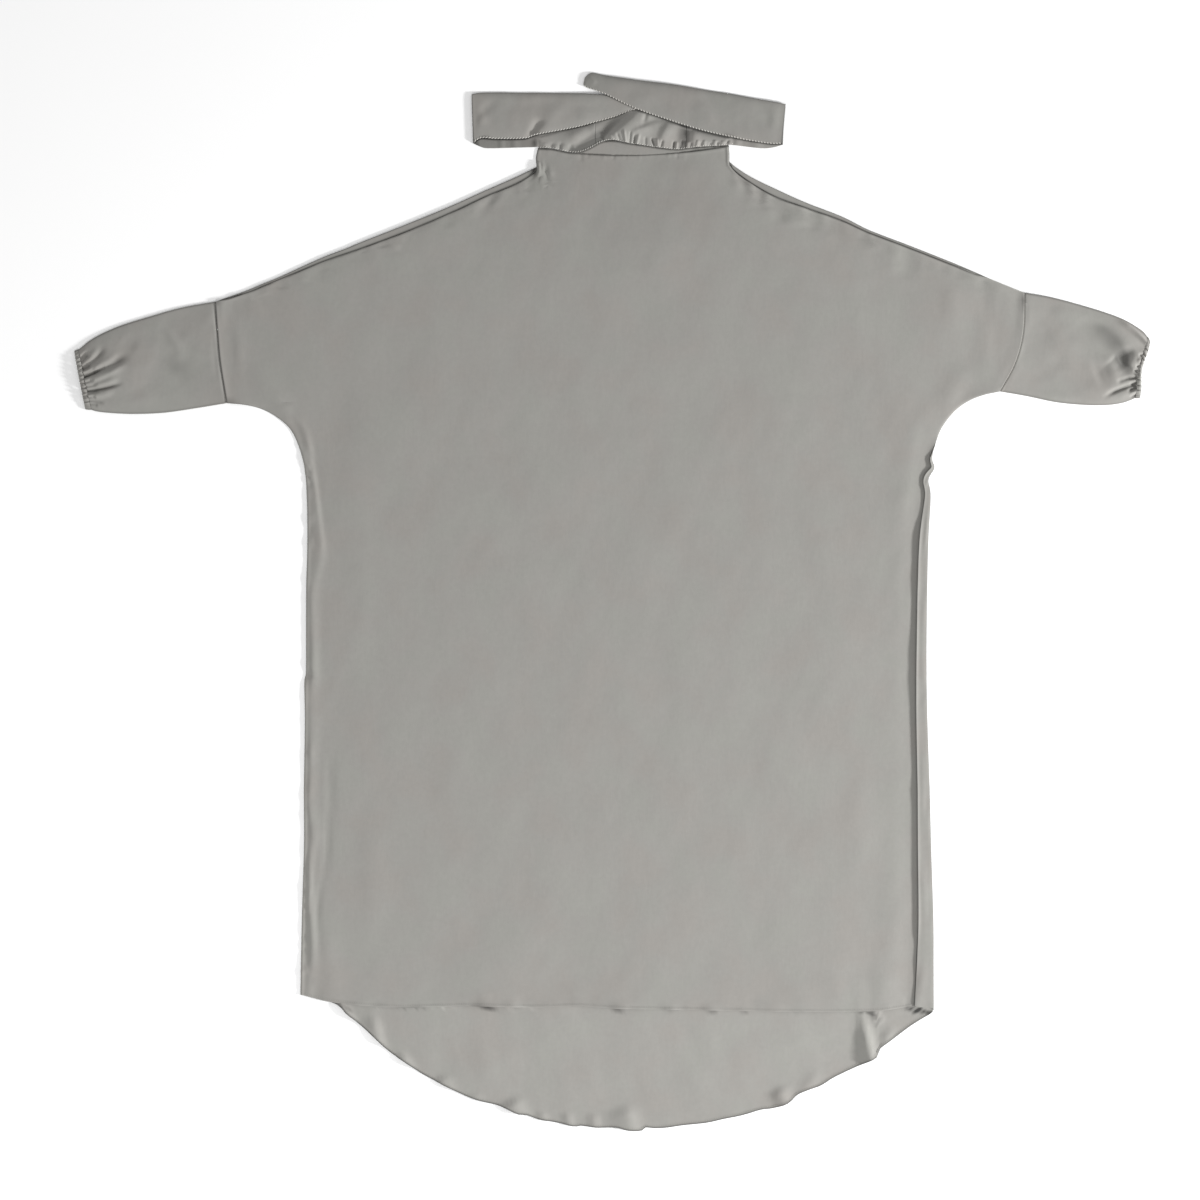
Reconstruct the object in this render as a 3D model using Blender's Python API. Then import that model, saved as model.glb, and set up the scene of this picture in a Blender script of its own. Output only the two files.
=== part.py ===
"""A plain grey pull-on jilbab, laid flat on its back with its front up.

The garment is a batwing front and back with dropped armholes, short lower sleeves in narrow
elastic cuffs, a rounded back hem that is longer than the front, and a gathered forehead band
whose two ties are folded back over it. X runs across the garment, +Y towards the head, +Z up
out of the ground that it lies on. Sizes are in millimetres until a mesh is made.
"""

import bmesh
import bpy
import numpy as np

MM = 0.001

# Cloth
CLOTH = 1.0  # wall of one thickness
TIE_CLOTH = 1.6  # wall of a tie, two thicknesses stitched together
SEAM_GAP = 0.3  # clearance between two pieces

# Heights of the middle of each wall over the ground
BACK_LEVEL = CLOTH / 2
FRONT_LEVEL = BACK_LEVEL + CLOTH + SEAM_GAP
TIE_LEVEL = TIE_CLOTH / 2
TIE_TOP_LEVEL = TIE_LEVEL + TIE_CLOTH + SEAM_GAP
TIE_ON_BAND_LEVEL = FRONT_LEVEL + CLOTH / 2 + SEAM_GAP + TIE_CLOTH / 2
TIE_ON_TIE_LEVEL = TIE_ON_BAND_LEVEL + TIE_CLOTH + SEAM_GAP
TIE_TIP_LEVEL = 2.5  # the right tie's tip hangs down past the left tie
ROLL_RADIUS = (FRONT_LEVEL - BACK_LEVEL) / 2
ROLL_START = ROLL_RADIUS + CLOTH / 2  # how far inside the outline a folded edge starts to turn
ROLL_STEPS = 4
FULL_WRAP = 3.0  # narrowest strip of the back that is turned right over to the front

# The two edges of the body from the neck down, and how far the back wraps over each to the front
# Columns: left_x, left_y, left_wrap, right_x, right_y, right_wrap
NECK_SIDES = (
    (-102, 626, 0, 161, 629.5, 0),
    (-105, 613, 0, 162, 618, 0),
    (-104, 600, 0, 162, 607, 0),
)
SHOULDERS = (
    (-104, 600, 0, 162, 607, 0),
    (-113, 595, 6, 172, 599, 4.5),
    (-138, 583, 8.3, 193, 585, 6.9),
    (-177, 566, 7.6, 228, 568, 9.7),
    (-224, 546, 8.3, 268, 550, 6.6),
    (-283, 522, 9, 315, 531, 4.6),
    (-344, 497, 8, 365, 509, 3.2),
    (-403, 473, 5.2, 413, 490, 3.2),
    (-458, 448, 3.2, 471, 467, 3.2),
    (-505, 430, 3.2, 522, 445, 3.2),
    (-547, 415, 0, 569, 426, 0),
)
ARMHOLES = (
    (-547, 415, 0, 569, 426, 0),
    (-544, 373, 0, 567, 372, 0),
    (-540, 329, 0, 556, 329, 0),
    (-531, 275, 0, 535, 292, 0),
)
SIDES = (
    (-531, 275, 0, 535, 292, 0),
    (-506, 273, 0, 513, 286, 0),
    (-483, 270, 0, 490, 278, 0),
    (-464, 260, 0, 471, 264, 0),
    (-446, 241, 0, 455, 245, 0),
    (-433, 219, 0, 446, 223, 0),
    (-426, 193, 0, 441, 195, 3.2),
    (-422, 161, 0, 439, 159, 7.6),
    (-421, 99, 0, 437, 107, 11.6),
    (-422, 16, 0, 434, 23, 12.8),
    (-424, -67, 0, 432, -59, 12.7),
    (-424, -164, 0, 433, -164, 12.7),
    (-425, -260, 0, 436, -260, 15.2),
)
SKIRT = (
    (-425, -260, 0, 436, -260, 15.2),
    (-424, -336, 0, 438, -343, 18.6),
    (-428, -440, 0, 440, -440, 22),
    (-429, -542, 0, 442, -564, 27.6),
)
EDGE_STEPS = 2  # rows of the mesh between two rows of a table
SKIRT_STEPS = 5
CURVE_STEPS = 4

# Necks and hems, each a curve from the left edge to the right
# Columns: x, y
BAND_SEAM = (
    (-102, 626),
    (-79, 626),
    (-55, 620),
    (-33, 626),
    (-14, 635),
    (11, 638),
    (32, 633),
    (69, 630),
    (87, 626),
    (109, 629.5),
    (139, 629.5),
    (161, 629.5),
)
NECKLINE = ((-102, 625), (-61, 618), (-8, 615), (39, 616), (84, 618), (124, 623), (161, 628))
FRONT_HEM = (
    (-429, -542),
    (-382, -553),
    (-299, -560),
    (-195, -558),
    (-105, -560),
    (-44, -558),
    (8, -563),
    (137, -564),
    (250, -566),
    (364, -565),
    (414, -561),
)
BACK_HEM = (
    (-429, -542),
    (-381, -555),
    (-357, -578),
    (-305, -623),
    (-241, -663),
    (-197, -684),
    (-150, -698),
    (-87, -717),
    (-32, -724),
    (26, -729),
    (80, -725),
    (137, -718),
    (186, -707),
    (250, -682),
    (317, -649),
    (364, -623),
    (400, -595),
    (442, -564),
)
NECK_DEPTH = 45  # how far below the neck its curve is felt
FRONT_HEM_POWER = 3  # the front's hem curve dies away faster up the skirt than the back's
EDGE_INSETS = (0, 4, 9, 14, 19, 25, 33)  # mesh columns beside each edge
FRONT_COLUMNS = 36
BACK_COLUMNS = 132

# Soft folds, each a ridge from a start to an end that swells or dies away
# Columns: x, y, half width and height at the start, then the same at the end
TAIL_FOLDS = (
    (-337, -574, 8, 0, -345, -592, 11, 2),
    (-121, -640, 14, 0, -117, -703, 17, 3),
    (28, -650, 14, 0, 33, -729, 17, 4),
    (237, -628, 10, 0, 241, -691, 13, 3),
    (350, -578, 8, 0, 366, -625, 19, 7),
)
FRONT_FOLDS = (
    (-410, 175, 10, 0, -399, 57, 14, 2.4),
    (-399, 57, 14, 2.4, -393, -136, 14, 1.6),
    (-393, -136, 14, 1.6, -396, -274, 14, 2.2),
    (-396, -274, 14, 2.2, -408, -453, 14, 2),
    (-408, -453, 14, 2, -412, -525, 12, 0.6),
    (412, 120, 8, 0, 403, 57, 11, 2.2),
    (403, 57, 11, 2.2, 399, -53, 12, 2.6),
    (399, -53, 12, 2.6, 402, -191, 12, 2.4),
    (402, -191, 12, 2.4, 402, -357, 12, 2.2),
    (402, -357, 12, 2.2, 400, -545, 12, 1.4),
)
SLEEVE_LEFT_FOLDS = (
    (-727, 306, 9, 3.4, -678, 339, 12, 0.6),
    (-719, 290, 7, 2.4, -672, 301, 9, 0.4),
    (-722, 325, 6, 1.8, -698, 349, 8, 0.3),
)
SLEEVE_RIGHT_FOLDS = (
    (741, 352, 7, 3.4, 700, 386, 10, 1),
    (720, 299, 6, 3, 676, 281, 10, 0.8),
    (722, 316, 6, 2.6, 694, 305, 9, 0.6),
    (716, 352, 10, 2.6, 704, 300, 14, 1.2),
)

# Sleeves and cuffs, each row the two edges of a flat ring, from the armhole outwards
# Columns: upper_x, upper_y, lower_x, lower_y, puff on top, height of the gathers
SLEEVE_LEFT = (
    (-547.3, 415, -531.3, 275, 0, 0),
    (-595, 406, -575, 268, 0, 0),
    (-638, 393, -617, 262, 0.6, 0),
    (-676, 379, -656, 259, 1.4, 0),
    (-702, 368, -683, 259.5, 2, 0.25),
    (-720, 358.5, -702, 261, 2, 0.8),
    (-730, 352, -712, 263, 1.6, 1.2),
    (-736, 348, -718, 264.5, 1.2, 1.2),
)
SLEEVE_RIGHT = (
    (569.3, 426, 535.3, 292, 0, 0),
    (606, 419, 571, 283.5, 0, 0),
    (648, 407.5, 614, 275, 0.6, 0),
    (684, 396.5, 654, 271, 1.6, 0),
    (706, 388.5, 683, 270.5, 2.2, 0.25),
    (724, 378.5, 703, 273, 2.2, 0.8),
    (733, 371, 714, 277, 1.8, 1.2),
    (737.5, 365, 721, 281, 1.2, 1.2),
)
CUFF_LEFT = (
    (-736.3, 348.2, -718.3, 264.5, 1.2, 1.2),
    (-739.5, 347, -722.5, 264.5, 2.2, 1.3),
    (-742.5, 345.5, -727, 265, 1.4, 1.2),
)
CUFF_RIGHT = (
    (737.9, 364.8, 721.4, 281, 1.2, 1.2),
    (740.5, 362, 725.5, 280.7, 2, 1.3),
    (742.5, 358, 729, 281, 1.4, 1.2),
)
CUFF_GATHERS = 12
POINTS_PER_GATHER = 4
UNDER_POINTS = 30
PUFF_POWER = 0.75  # below 1, so that a puff rises steeply at its edges and is flat on top

# Forehead band and the gathers along its lower seam
BAND_STATIONS = 37
BAND_ROWS = 10
BAND_LEFT = -23
BAND_RIGHT = 102
BAND_TOP = 696
GATHER_LEFT = -79
GATHER_PITCH = 14
GATHER_HIGH = 1.2
GATHER_REACH = 10
PUFF_HIGH = 3.2
PUFF_SPAN = 30  # a strip of band this wide puffs up to its full height
PUFF_CLEAR = 4  # the puff starts this far below the ties' edges
TIE_EDGE_OVER_BAND = (
    (-98, 642),
    (-51, 655),
    (4, 669),
    (32, 680),
    (79, 664),
    (102, 656),
    (146, 644),
    (164, 641),
)

# Ties: the layer underneath runs out from the band to the fold, and the top layer comes back
# Columns of the layer underneath: x, low_y, high_y
TIE_LEFT_UNDER = (
    (-188, 631, 699.5),
    (-141, 627.5, 699),
    (-103, 627.5, 698),
    (-60, 627, 697),
    (-23.3, 627, 695.5),
)
TIE_RIGHT_UNDER = (
    (235, 630, 686.5),
    (204, 626, 688.5),
    (164, 630, 692.5),
    (128, 631, 695),
    (102.3, 631, 695.5),
)
# Columns of the top layer: low_x, low_y, high_x, high_y, level
TIE_LEFT_TOP = (
    (-187, 635, -190, 700, TIE_TOP_LEVEL),
    (-144, 638, -144, 702, TIE_TOP_LEVEL),
    (-101, 644, -101, 702, TIE_TOP_LEVEL + 1.2),
    (-51, 655, -51, 702, TIE_ON_BAND_LEVEL),
    (4, 669, 4, 697.5, TIE_ON_BAND_LEVEL),
    (32, 680, 32, 696, TIE_ON_BAND_LEVEL),
    (83, 687, 83, 693, TIE_ON_BAND_LEVEL),
)
TIE_RIGHT_TOP = (
    (232, 633, 237.5, 686, TIE_TOP_LEVEL),
    (201, 634, 201, 693, TIE_TOP_LEVEL),
    (164, 641, 164, 701, TIE_TOP_LEVEL + 1.2),
    (128, 649, 128, 707.5, TIE_ON_BAND_LEVEL),
    (88, 661, 88, 714.5, TIE_ON_TIE_LEVEL),
    (32, 680, 32, 720, TIE_ON_TIE_LEVEL),
    (-9, 699.5, -8, 727, TIE_ON_TIE_LEVEL),
    (-34, 713, -31, 730, TIE_TIP_LEVEL),
)
TIE_ACROSS = 12
TIE_UNDER_STEPS = 6
TIE_TOP_STEPS = 3

CREPE_GREY = (0.37, 0.365, 0.345, 1.0)
CREPE_ROUGHNESS = 0.85


def smooth(rows, steps):
    """The rows with that many steps from each to the next, on a curve through them all."""
    rows = np.asarray(rows, float)
    padded = np.vstack((2 * rows[0] - rows[1], rows, 2 * rows[-1] - rows[-2]))
    t = np.linspace(0, 1, steps, endpoint=False)[:, None]
    curve = [
        b + t / 2 * (c - a + t * (2 * a - 5 * b + 4 * c - d + t * (3 * (b - c) + d - a)))
        for a, b, c, d in zip(padded, padded[1:], padded[2:], padded[3:])
    ]
    return np.vstack((*curve, rows[-1:]))


def curve_y(table, x):
    """Height of a smooth left-to-right curve at x."""
    points = smooth(table, CURVE_STEPS)
    return np.interp(x, points[:, 0], points[:, 1])


def fold_height(x, y, folds):
    """Highest of the soft ridges at a place: each falls off sideways as a squared cosine."""
    high = np.zeros_like(x)
    for x0, y0, half0, high0, x1, y1, half1, high1 in folds:
        along = np.array((x1 - x0, y1 - y0))
        t = np.clip(((x - x0) * along[0] + (y - y0) * along[1]) / (along @ along), 0, 1)
        away = np.hypot(x - x0 - t * along[0], y - y0 - t * along[1])
        reach = np.clip(away / (half0 + t * (half1 - half0)), 0, 1)
        high = np.maximum(high, (high0 + t * (high1 - high0)) * np.cos(np.pi / 2 * reach) ** 2)
    return high


def cloth_object(name, points, faces):
    """A named object of closed cloth, its faces turned outwards, in its own grey material."""
    mesh = bpy.data.meshes.new(name)
    mesh.from_pydata((points.reshape(-1, 3) * MM).tolist(), [], faces.tolist())
    shell = bmesh.new()
    shell.from_mesh(mesh)
    bmesh.ops.recalc_face_normals(shell, faces=shell.faces)
    shell.to_mesh(mesh)
    shell.free()
    mesh.shade_smooth()
    material = bpy.data.materials.new(name + "_crepe")
    material.use_nodes = True
    shader = material.node_tree.nodes["Principled BSDF"]
    shader.inputs["Base Color"].default_value = CREPE_GREY
    shader.inputs["Roughness"].default_value = CREPE_ROUGHNESS
    mesh.materials.append(material)
    thing = bpy.data.objects.new(name, mesh)
    bpy.context.collection.objects.link(thing)
    return thing


def walls(middle, wall, around):
    """Both faces of a wall about a grid of middle points, whose columns may close on themselves."""
    down = np.gradient(middle, axis=0)
    if around:
        across = np.roll(middle, -1, axis=1) - np.roll(middle, 1, axis=1)
    else:
        across = np.gradient(middle, axis=1)
    normal = np.cross(across, down)
    normal /= np.linalg.norm(normal, axis=2, keepdims=True)
    return middle + normal * wall / 2, middle - normal * wall / 2


def quads(first, second, third, fourth):
    """Quads from four arrays of corner numbers."""
    return np.stack((first, second, third, fourth), axis=-1).reshape(-1, 4)


def sheet_solid(name, middle, wall):
    """A sheet of cloth with a rim on its four sides."""
    front, back = walls(middle, wall, around=False)
    number = np.arange(middle.shape[0] * middle.shape[1]).reshape(middle.shape[:2])
    under = number + number.size
    rim = np.concatenate((number[0], number[1:, -1], number[-1, -2::-1], number[-2:0:-1, 0]))
    after = np.roll(rim, -1)
    faces = np.vstack((
        quads(number[:-1, :-1], number[:-1, 1:], number[1:, 1:], number[1:, :-1]),
        quads(under[:-1, :-1], under[1:, :-1], under[1:, 1:], under[:-1, 1:]),
        quads(rim, rim + number.size, after + number.size, after),
    ))
    return cloth_object(name, np.stack((front, back)), faces)


def tube_solid(name, middle, wall):
    """A tube of cloth through closed rings, with a rim at each open end."""
    outer, inner = walls(middle, wall, around=True)
    number = np.arange(middle.shape[0] * middle.shape[1]).reshape(middle.shape[:2])
    after = np.roll(number, -1, axis=1)
    size = number.size
    faces = np.vstack((
        quads(number[:-1], after[:-1], after[1:], number[1:]),
        quads(number[:-1] + size, number[1:] + size, after[1:] + size, after[:-1] + size),
        quads(number[0], number[0] + size, after[0] + size, after[0]),
        quads(number[-1], after[-1], after[-1] + size, number[-1] + size),
    ))
    return cloth_object(name, np.stack((outer, inner)), faces)


def body_edges():
    """Both edges of the body from the neck to the hem: places, inward directions and wraps."""
    stretches = [smooth(table, EDGE_STEPS)[:-1] for table in (NECK_SIDES, SHOULDERS, ARMHOLES, SIDES)]
    rows = np.vstack((*stretches, smooth(SKIRT, SKIRT_STEPS)))
    edges = []
    for columns, inward in (((0, 1, 2), 1), ((3, 4, 5), -1)):
        place = rows[:, columns[:2]]
        along = np.gradient(place, axis=0)
        normal = inward * np.stack((-along[:, 1], along[:, 0]), axis=1)
        normal /= np.linalg.norm(normal, axis=1, keepdims=True)
        edges.append((place, normal, np.maximum(rows[:, columns[2]], 0)))
    return edges


def turned_edge(place, normal, wrap):
    """The strip of the back beyond an edge: a half roll, then flat on top up to the seam.

    Where the wrap dies away the strip opens out again and ends flat at the outline."""
    turned = np.clip(wrap / FULL_WRAP, 0, 1)[:, None]
    half_roll = np.pi * ROLL_RADIUS
    length = ROLL_START + turned * (half_roll + wrap[:, None] - 2 * ROLL_START)
    share = np.linspace(0, 1, ROLL_STEPS + 3)[1:]
    rolled = np.hstack((
        np.linspace(0, half_roll, ROLL_STEPS + 1)[1:] + 0 * length,
        half_roll + (length - half_roll) * np.array((0.5, 1.0)),
    ))
    run = share * length + turned * (rolled - share * length)
    angle = np.pi * turned
    turn = np.minimum(run / ROLL_RADIUS, angle)
    rest = np.maximum(run - ROLL_RADIUS * angle, 0)
    out = ROLL_RADIUS * np.sin(turn) + rest * np.cos(angle)
    up = ROLL_RADIUS * (1 - np.cos(turn)) + rest * np.sin(angle)
    plan = place[:, None, :] + normal[:, None, :] * (ROLL_START - out)[..., None]
    return np.dstack((plan, BACK_LEVEL + up))


def panel_grid(left, right, columns, neck, hem, hem_fade):
    """Rows of plan points from the left ends to the right, bowed to the neck and the hem."""
    width = np.linalg.norm(right - left, axis=1)[:, None]
    near = np.array(EDGE_INSETS, float)
    inner = np.linspace(near[-1], 0, columns, endpoint=False)[1:] / near[-1]
    middle = near[-1] + (1 - inner) * (width - 2 * near[-1])
    run = np.hstack((near + 0 * width, middle, width - near[::-1])) / width
    plan = left[:, None, :] + run[..., None] * (right - left)[:, None, :]
    depth = (NECK_SIDES[0][1] - plan[:, :, 1].mean(axis=1)) / NECK_DEPTH
    neck_fade = np.clip(1 - depth, 0, 1)[:, None]
    neck_fade[0] = 1
    x = plan[..., 0]
    plan[..., 1] += neck_fade * (curve_y(neck, x[0]) - plan[0, :, 1])
    plan[..., 1] += hem_fade[:, None] * (curve_y(hem, x[-1]) - plan[-1, :, 1])
    return plan


def hem_fades(rows):
    """How much each row of a panel follows its hem: nothing above the skirt, then more and more."""
    skirt = (len(SKIRT) - 1) * SKIRT_STEPS
    return np.clip((np.arange(rows) - (rows - 1 - skirt)) / skirt, 0, 1)


def back_panel():
    """The back: flat on the ground, turned over the shoulders and the right side to the front."""
    (left, left_in, left_wrap), (right, right_in, right_wrap) = body_edges()
    start, end = left + left_in * ROLL_START, right + right_in * ROLL_START
    plan = panel_grid(start, end, BACK_COLUMNS, BAND_SEAM, BACK_HEM, hem_fades(len(left)))
    lift = fold_height(plan[..., 0], plan[..., 1], TAIL_FOLDS)
    middle = np.dstack((plan, BACK_LEVEL + lift))
    left_strip = turned_edge(left, left_in, left_wrap)[:, ::-1]
    right_strip = turned_edge(right, right_in, right_wrap)
    return sheet_solid("back_panel", np.hstack((left_strip, middle, right_strip)), CLOTH)


def front_panel():
    """The front: flat on the back, with a soft ridge beside each side seam."""
    ends = []
    for place, inward, wrap in body_edges():
        turned = np.clip(wrap / FULL_WRAP, 0, 1)
        inset = SEAM_GAP + np.maximum(wrap, FULL_WRAP * np.minimum(1, 2 * turned))
        ends.append(place + inward * inset[:, None])
    fades = hem_fades(len(ends[0])) ** FRONT_HEM_POWER
    plan = panel_grid(*ends, FRONT_COLUMNS, NECKLINE, FRONT_HEM, fades)
    lift = fold_height(plan[..., 0], plan[..., 1], FRONT_FOLDS)
    return sheet_solid("front_panel", np.dstack((plan, FRONT_LEVEL + lift)), CLOTH)


def armhole_bow(armhole, share):
    """How far a curved armhole stands off the straight line between its ends."""
    points = smooth(armhole, EDGE_STEPS)
    chord = points[-1] - points[0]
    length = np.linalg.norm(chord)
    along = (points - points[0]) @ chord / length**2
    off = (chord[0] * (points - points[0])[:, 1] - chord[1] * (points - points[0])[:, 0]) / length
    return np.interp(share, along, off)


def gathered_tube(name, rows, folds, armhole=None):
    """A flattened tube, flat below, that rises on top in a puff, soft folds and small gathers."""
    rows = np.asarray(rows, float)
    upper, lower, puff, gather = rows[:, :2], rows[:, 2:4], rows[:, 4:5], rows[:, 5:6]
    down = lower - upper
    width = np.linalg.norm(down, axis=1)[:, None]
    down /= width
    top_share = np.linspace(0, 1, CUFF_GATHERS * POINTS_PER_GATHER + 1)
    turn = np.linspace(0, np.pi, ROLL_STEPS + 1)[1:-1]
    under_share = np.linspace(1, 0, UNDER_POINTS)
    share = np.concatenate((top_share, 1 + 0 * turn, under_share, 0 * turn))
    out = np.concatenate((0 * top_share, np.sin(turn), 0 * under_share, -np.sin(turn)))
    side = np.concatenate((1 + 0 * top_share, np.cos(turn), -1 + 0 * under_share, -np.cos(turn)))
    run = ROLL_START + share * (width - 2 * ROLL_START) + ROLL_RADIUS * out
    plan = upper[:, None, :] + run[..., None] * down[:, None, :]
    if armhole is not None:
        fade = np.linspace(1, 0, len(rows))[:, None] ** 2
        bow = armhole_bow(armhole, run / width) * fade
        plan += bow[..., None] * np.stack((-down[:, 1], down[:, 0]), axis=1)[:, None, :]
    top = np.arange(len(share)) < len(top_share)
    swell = np.sin(np.pi * share) ** PUFF_POWER
    waves = 0.5 - 0.5 * np.cos(2 * np.pi * CUFF_GATHERS * share)
    lift = top * (puff * swell + gather * waves + swell * fold_height(plan[..., 0], plan[..., 1], folds))
    level = BACK_LEVEL + ROLL_RADIUS * (1 + side) + lift
    return tube_solid(name, np.dstack((plan, level)), CLOTH)


def band_lift(x, y):
    """Rise of the band between the ties' edges and its seam: a soft puff and the gathers."""
    seam = curve_y(BAND_SEAM, x)
    span = np.maximum(curve_y(TIE_EDGE_OVER_BAND, x) - PUFF_CLEAR - seam, 1)
    up = np.clip((y - seam) / span, 0, 1)
    puff = PUFF_HIGH * np.minimum(1, span / PUFF_SPAN) * np.sin(np.pi * up) ** PUFF_POWER
    inside = (x > GATHER_LEFT) & (x < BAND_SEAM[-1][0])
    waves = 0.5 - 0.5 * np.cos(2 * np.pi * (x - GATHER_LEFT) / GATHER_PITCH)
    fade = np.exp(-np.maximum(y - seam, 0) / GATHER_REACH) * (up < 1)
    return puff + inside * GATHER_HIGH * waves * fade


def forehead_band():
    """A strip folded along its top, whose upper layer is gathered along the seam below."""
    x = np.linspace(BAND_LEFT + SEAM_GAP, BAND_RIGHT - SEAM_GAP, BAND_STATIONS)[:, None]
    seam = curve_y(BAND_SEAM, x) + SEAM_GAP
    crease = BAND_TOP - ROLL_START
    turn = np.linspace(0, np.pi, ROLL_STEPS + 1)[1:-1]
    below = seam + np.linspace(0, 1, 3) * (crease - seam)
    above = crease + np.linspace(0, 1, BAND_ROWS) * (seam - crease)
    y = np.hstack((below, crease + ROLL_RADIUS * np.sin(turn) + 0 * x, above))
    lift = band_lift(x + 0 * above, above)
    up = BACK_LEVEL + ROLL_RADIUS * (1 - np.cos(turn))
    level = np.hstack((BACK_LEVEL + 0 * below, up + 0 * x, FRONT_LEVEL + lift))
    return sheet_solid("forehead_band", np.dstack((x + 0 * y, y, level)), CLOTH)


def tie(name, under, top, outward):
    """A stitched strip: gathered to the garment at its root, folded over, tapering to its tip."""
    under = smooth(under, TIE_UNDER_STEPS)[::-1]
    top = smooth(top, TIE_TOP_STEPS)
    share = np.linspace(0, 1, TIE_ACROSS + 1)
    x, low, high = under[:, :1], under[:, 1:2], under[:, 2:3]
    sewn = (x > BAND_SEAM[0][0]) & (x < BAND_SEAM[-1][0])
    low = np.where(sewn, curve_y(BAND_SEAM, x) + SEAM_GAP, low)
    y = low + share * (high - low)
    x = x + 0 * y
    under_layer = np.dstack((x, y, TIE_LEVEL + sewn * band_lift(x, y)))
    places = top[:, None, :2] + share[:, None] * (top[:, 2:4] - top[:, :2])[:, None, :]
    top_layer = np.dstack((places, top[:, 4:5] + 0 * share))
    turn = np.linspace(0, np.pi, ROLL_STEPS + 1)[1:-1, None, None]
    radius = (TIE_TOP_LEVEL - TIE_LEVEL) / 2
    fold = under_layer[-1] + turn / np.pi * (top_layer[0] - under_layer[-1])
    fold[..., 0] += outward * radius * np.sin(turn[..., 0])
    fold[..., 2] = TIE_LEVEL + radius * (1 - np.cos(turn[..., 0]))
    return sheet_solid(name, np.vstack((under_layer, fold, top_layer)), TIE_CLOTH)


def armhole_points(columns):
    """One side's armhole line."""
    return [tuple(row[column] for column in columns) for row in ARMHOLES]


def build():
    """Clear the scene and make every piece of the garment."""
    for thing in list(bpy.data.objects):
        bpy.data.objects.remove(thing)
    back_panel()
    front_panel()
    gathered_tube("sleeve_left", SLEEVE_LEFT, SLEEVE_LEFT_FOLDS, armhole_points((0, 1)))
    gathered_tube("sleeve_right", SLEEVE_RIGHT, SLEEVE_RIGHT_FOLDS, armhole_points((3, 4)))
    gathered_tube("cuff_left", CUFF_LEFT, ())
    gathered_tube("cuff_right", CUFF_RIGHT, ())
    forehead_band()
    tie("tie_left", TIE_LEFT_UNDER, TIE_LEFT_TOP, -1)
    tie("tie_right", TIE_RIGHT_UNDER, TIE_RIGHT_TOP, 1)


build()
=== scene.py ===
"""A plain grey pull-on jilbab, laid flat with its front up and seen from straight above.

Each piece of cloth is a thin closed shell on the form of its solid. It is a grid of points in
millimetres, worked out from the garment's edges, seams and creases. X runs across the garment,
+Y towards the head and +Z up out of the floor.
"""

import bpy
import numpy as np
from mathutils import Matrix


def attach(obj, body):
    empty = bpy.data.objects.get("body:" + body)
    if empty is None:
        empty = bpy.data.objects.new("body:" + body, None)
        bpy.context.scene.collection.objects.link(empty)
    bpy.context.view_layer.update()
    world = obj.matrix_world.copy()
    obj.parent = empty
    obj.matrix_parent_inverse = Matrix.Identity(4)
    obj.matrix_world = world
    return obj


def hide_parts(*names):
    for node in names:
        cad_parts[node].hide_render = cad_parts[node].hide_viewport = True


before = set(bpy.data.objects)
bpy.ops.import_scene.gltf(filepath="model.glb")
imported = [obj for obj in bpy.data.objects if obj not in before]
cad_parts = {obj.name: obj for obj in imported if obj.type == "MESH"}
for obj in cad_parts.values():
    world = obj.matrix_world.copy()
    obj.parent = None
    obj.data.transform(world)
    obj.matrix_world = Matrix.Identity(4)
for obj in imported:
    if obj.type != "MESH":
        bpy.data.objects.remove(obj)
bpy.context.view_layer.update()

# Back panel
# One cut of plain warm-grey polyester crepe, batwing shaped, with a rounded tail that ends in a
# narrow rolled hem. Its seams with the front were pulled forward when the garment was laid
# down, so a strip of it shows in front along both shoulders and all down the right side.
MM = 0.001
WALL = 0.6  # one thickness of cloth
BACK_LEVEL = 0.4  # middle of the cloth over the floor
BACK_ROWS = (8, 60, 8, 90, 70)  # on each of the five stretches of its edges
BACK_NEAR = (0, 1.5, 3.5, 7, 12, 20, 30)  # its close columns, as ways in from both edges
BACK_COLUMNS = 152  # the even ones between them
SKIRT_CLOSES = 1.8  # power by which the rows close up towards the hem
FULL_WRAP = 3.0  # narrowest strip that is turned right over
WIDE_STRIP = 14
NARROW_ROLL, WIDE_ROLL = 0.8, 1.3  # radius of a turned edge under a narrow and a wide strip
ROLL_STEPS = 8
STRIP_STEPS = 9
STRIP_CLOSES = 1.6  # power by which the strip's columns close up towards its seam
SEAM_RIM = 0.5  # the allowance inside a seam lifts its edge by this much
LIP_REACH = 2.2  # how far in from the right strip's seam its lip is felt
CORNER_TOP, CORNER_FADE = -500, 64  # the right strip's rows lean below this, more and more
CORNER_LEAN = 6.5  # how far its own hem leans up at the seam
NECK_DEPTH = 45  # how far below the neck its curve is felt
NECK_RISE = 0.6  # how far the back stands up behind the neckline
TAIL_TOP, TAIL_FADE = -480, 60  # where the hems begin to be felt, and the way to their full share
TAIL_RISE = 0.7  # how far the tail stands up off the floor
HEM_WIDE = 4.0
# How much light from the white floor comes up through the cloth: more through one layer than through
# two. The same point mark also carries painted shade and painted highlights
ONE_LAYER, TWO_LAYERS, DARKEST_MARK = 0.42, 0.5, 1.5
# How bright the cloth is at even steps of that mark from 0 to its darkest: only painted highlights
# reach the palest step, the second is two layers, and the darker steps are dark seam lines and painted
# shade
LAYER_AND_SHADE_TONES = (1.3, 1, 0.55, 0.15)
CREPE_GREY = np.array((0.272, 0.265, 0.248))
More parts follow.
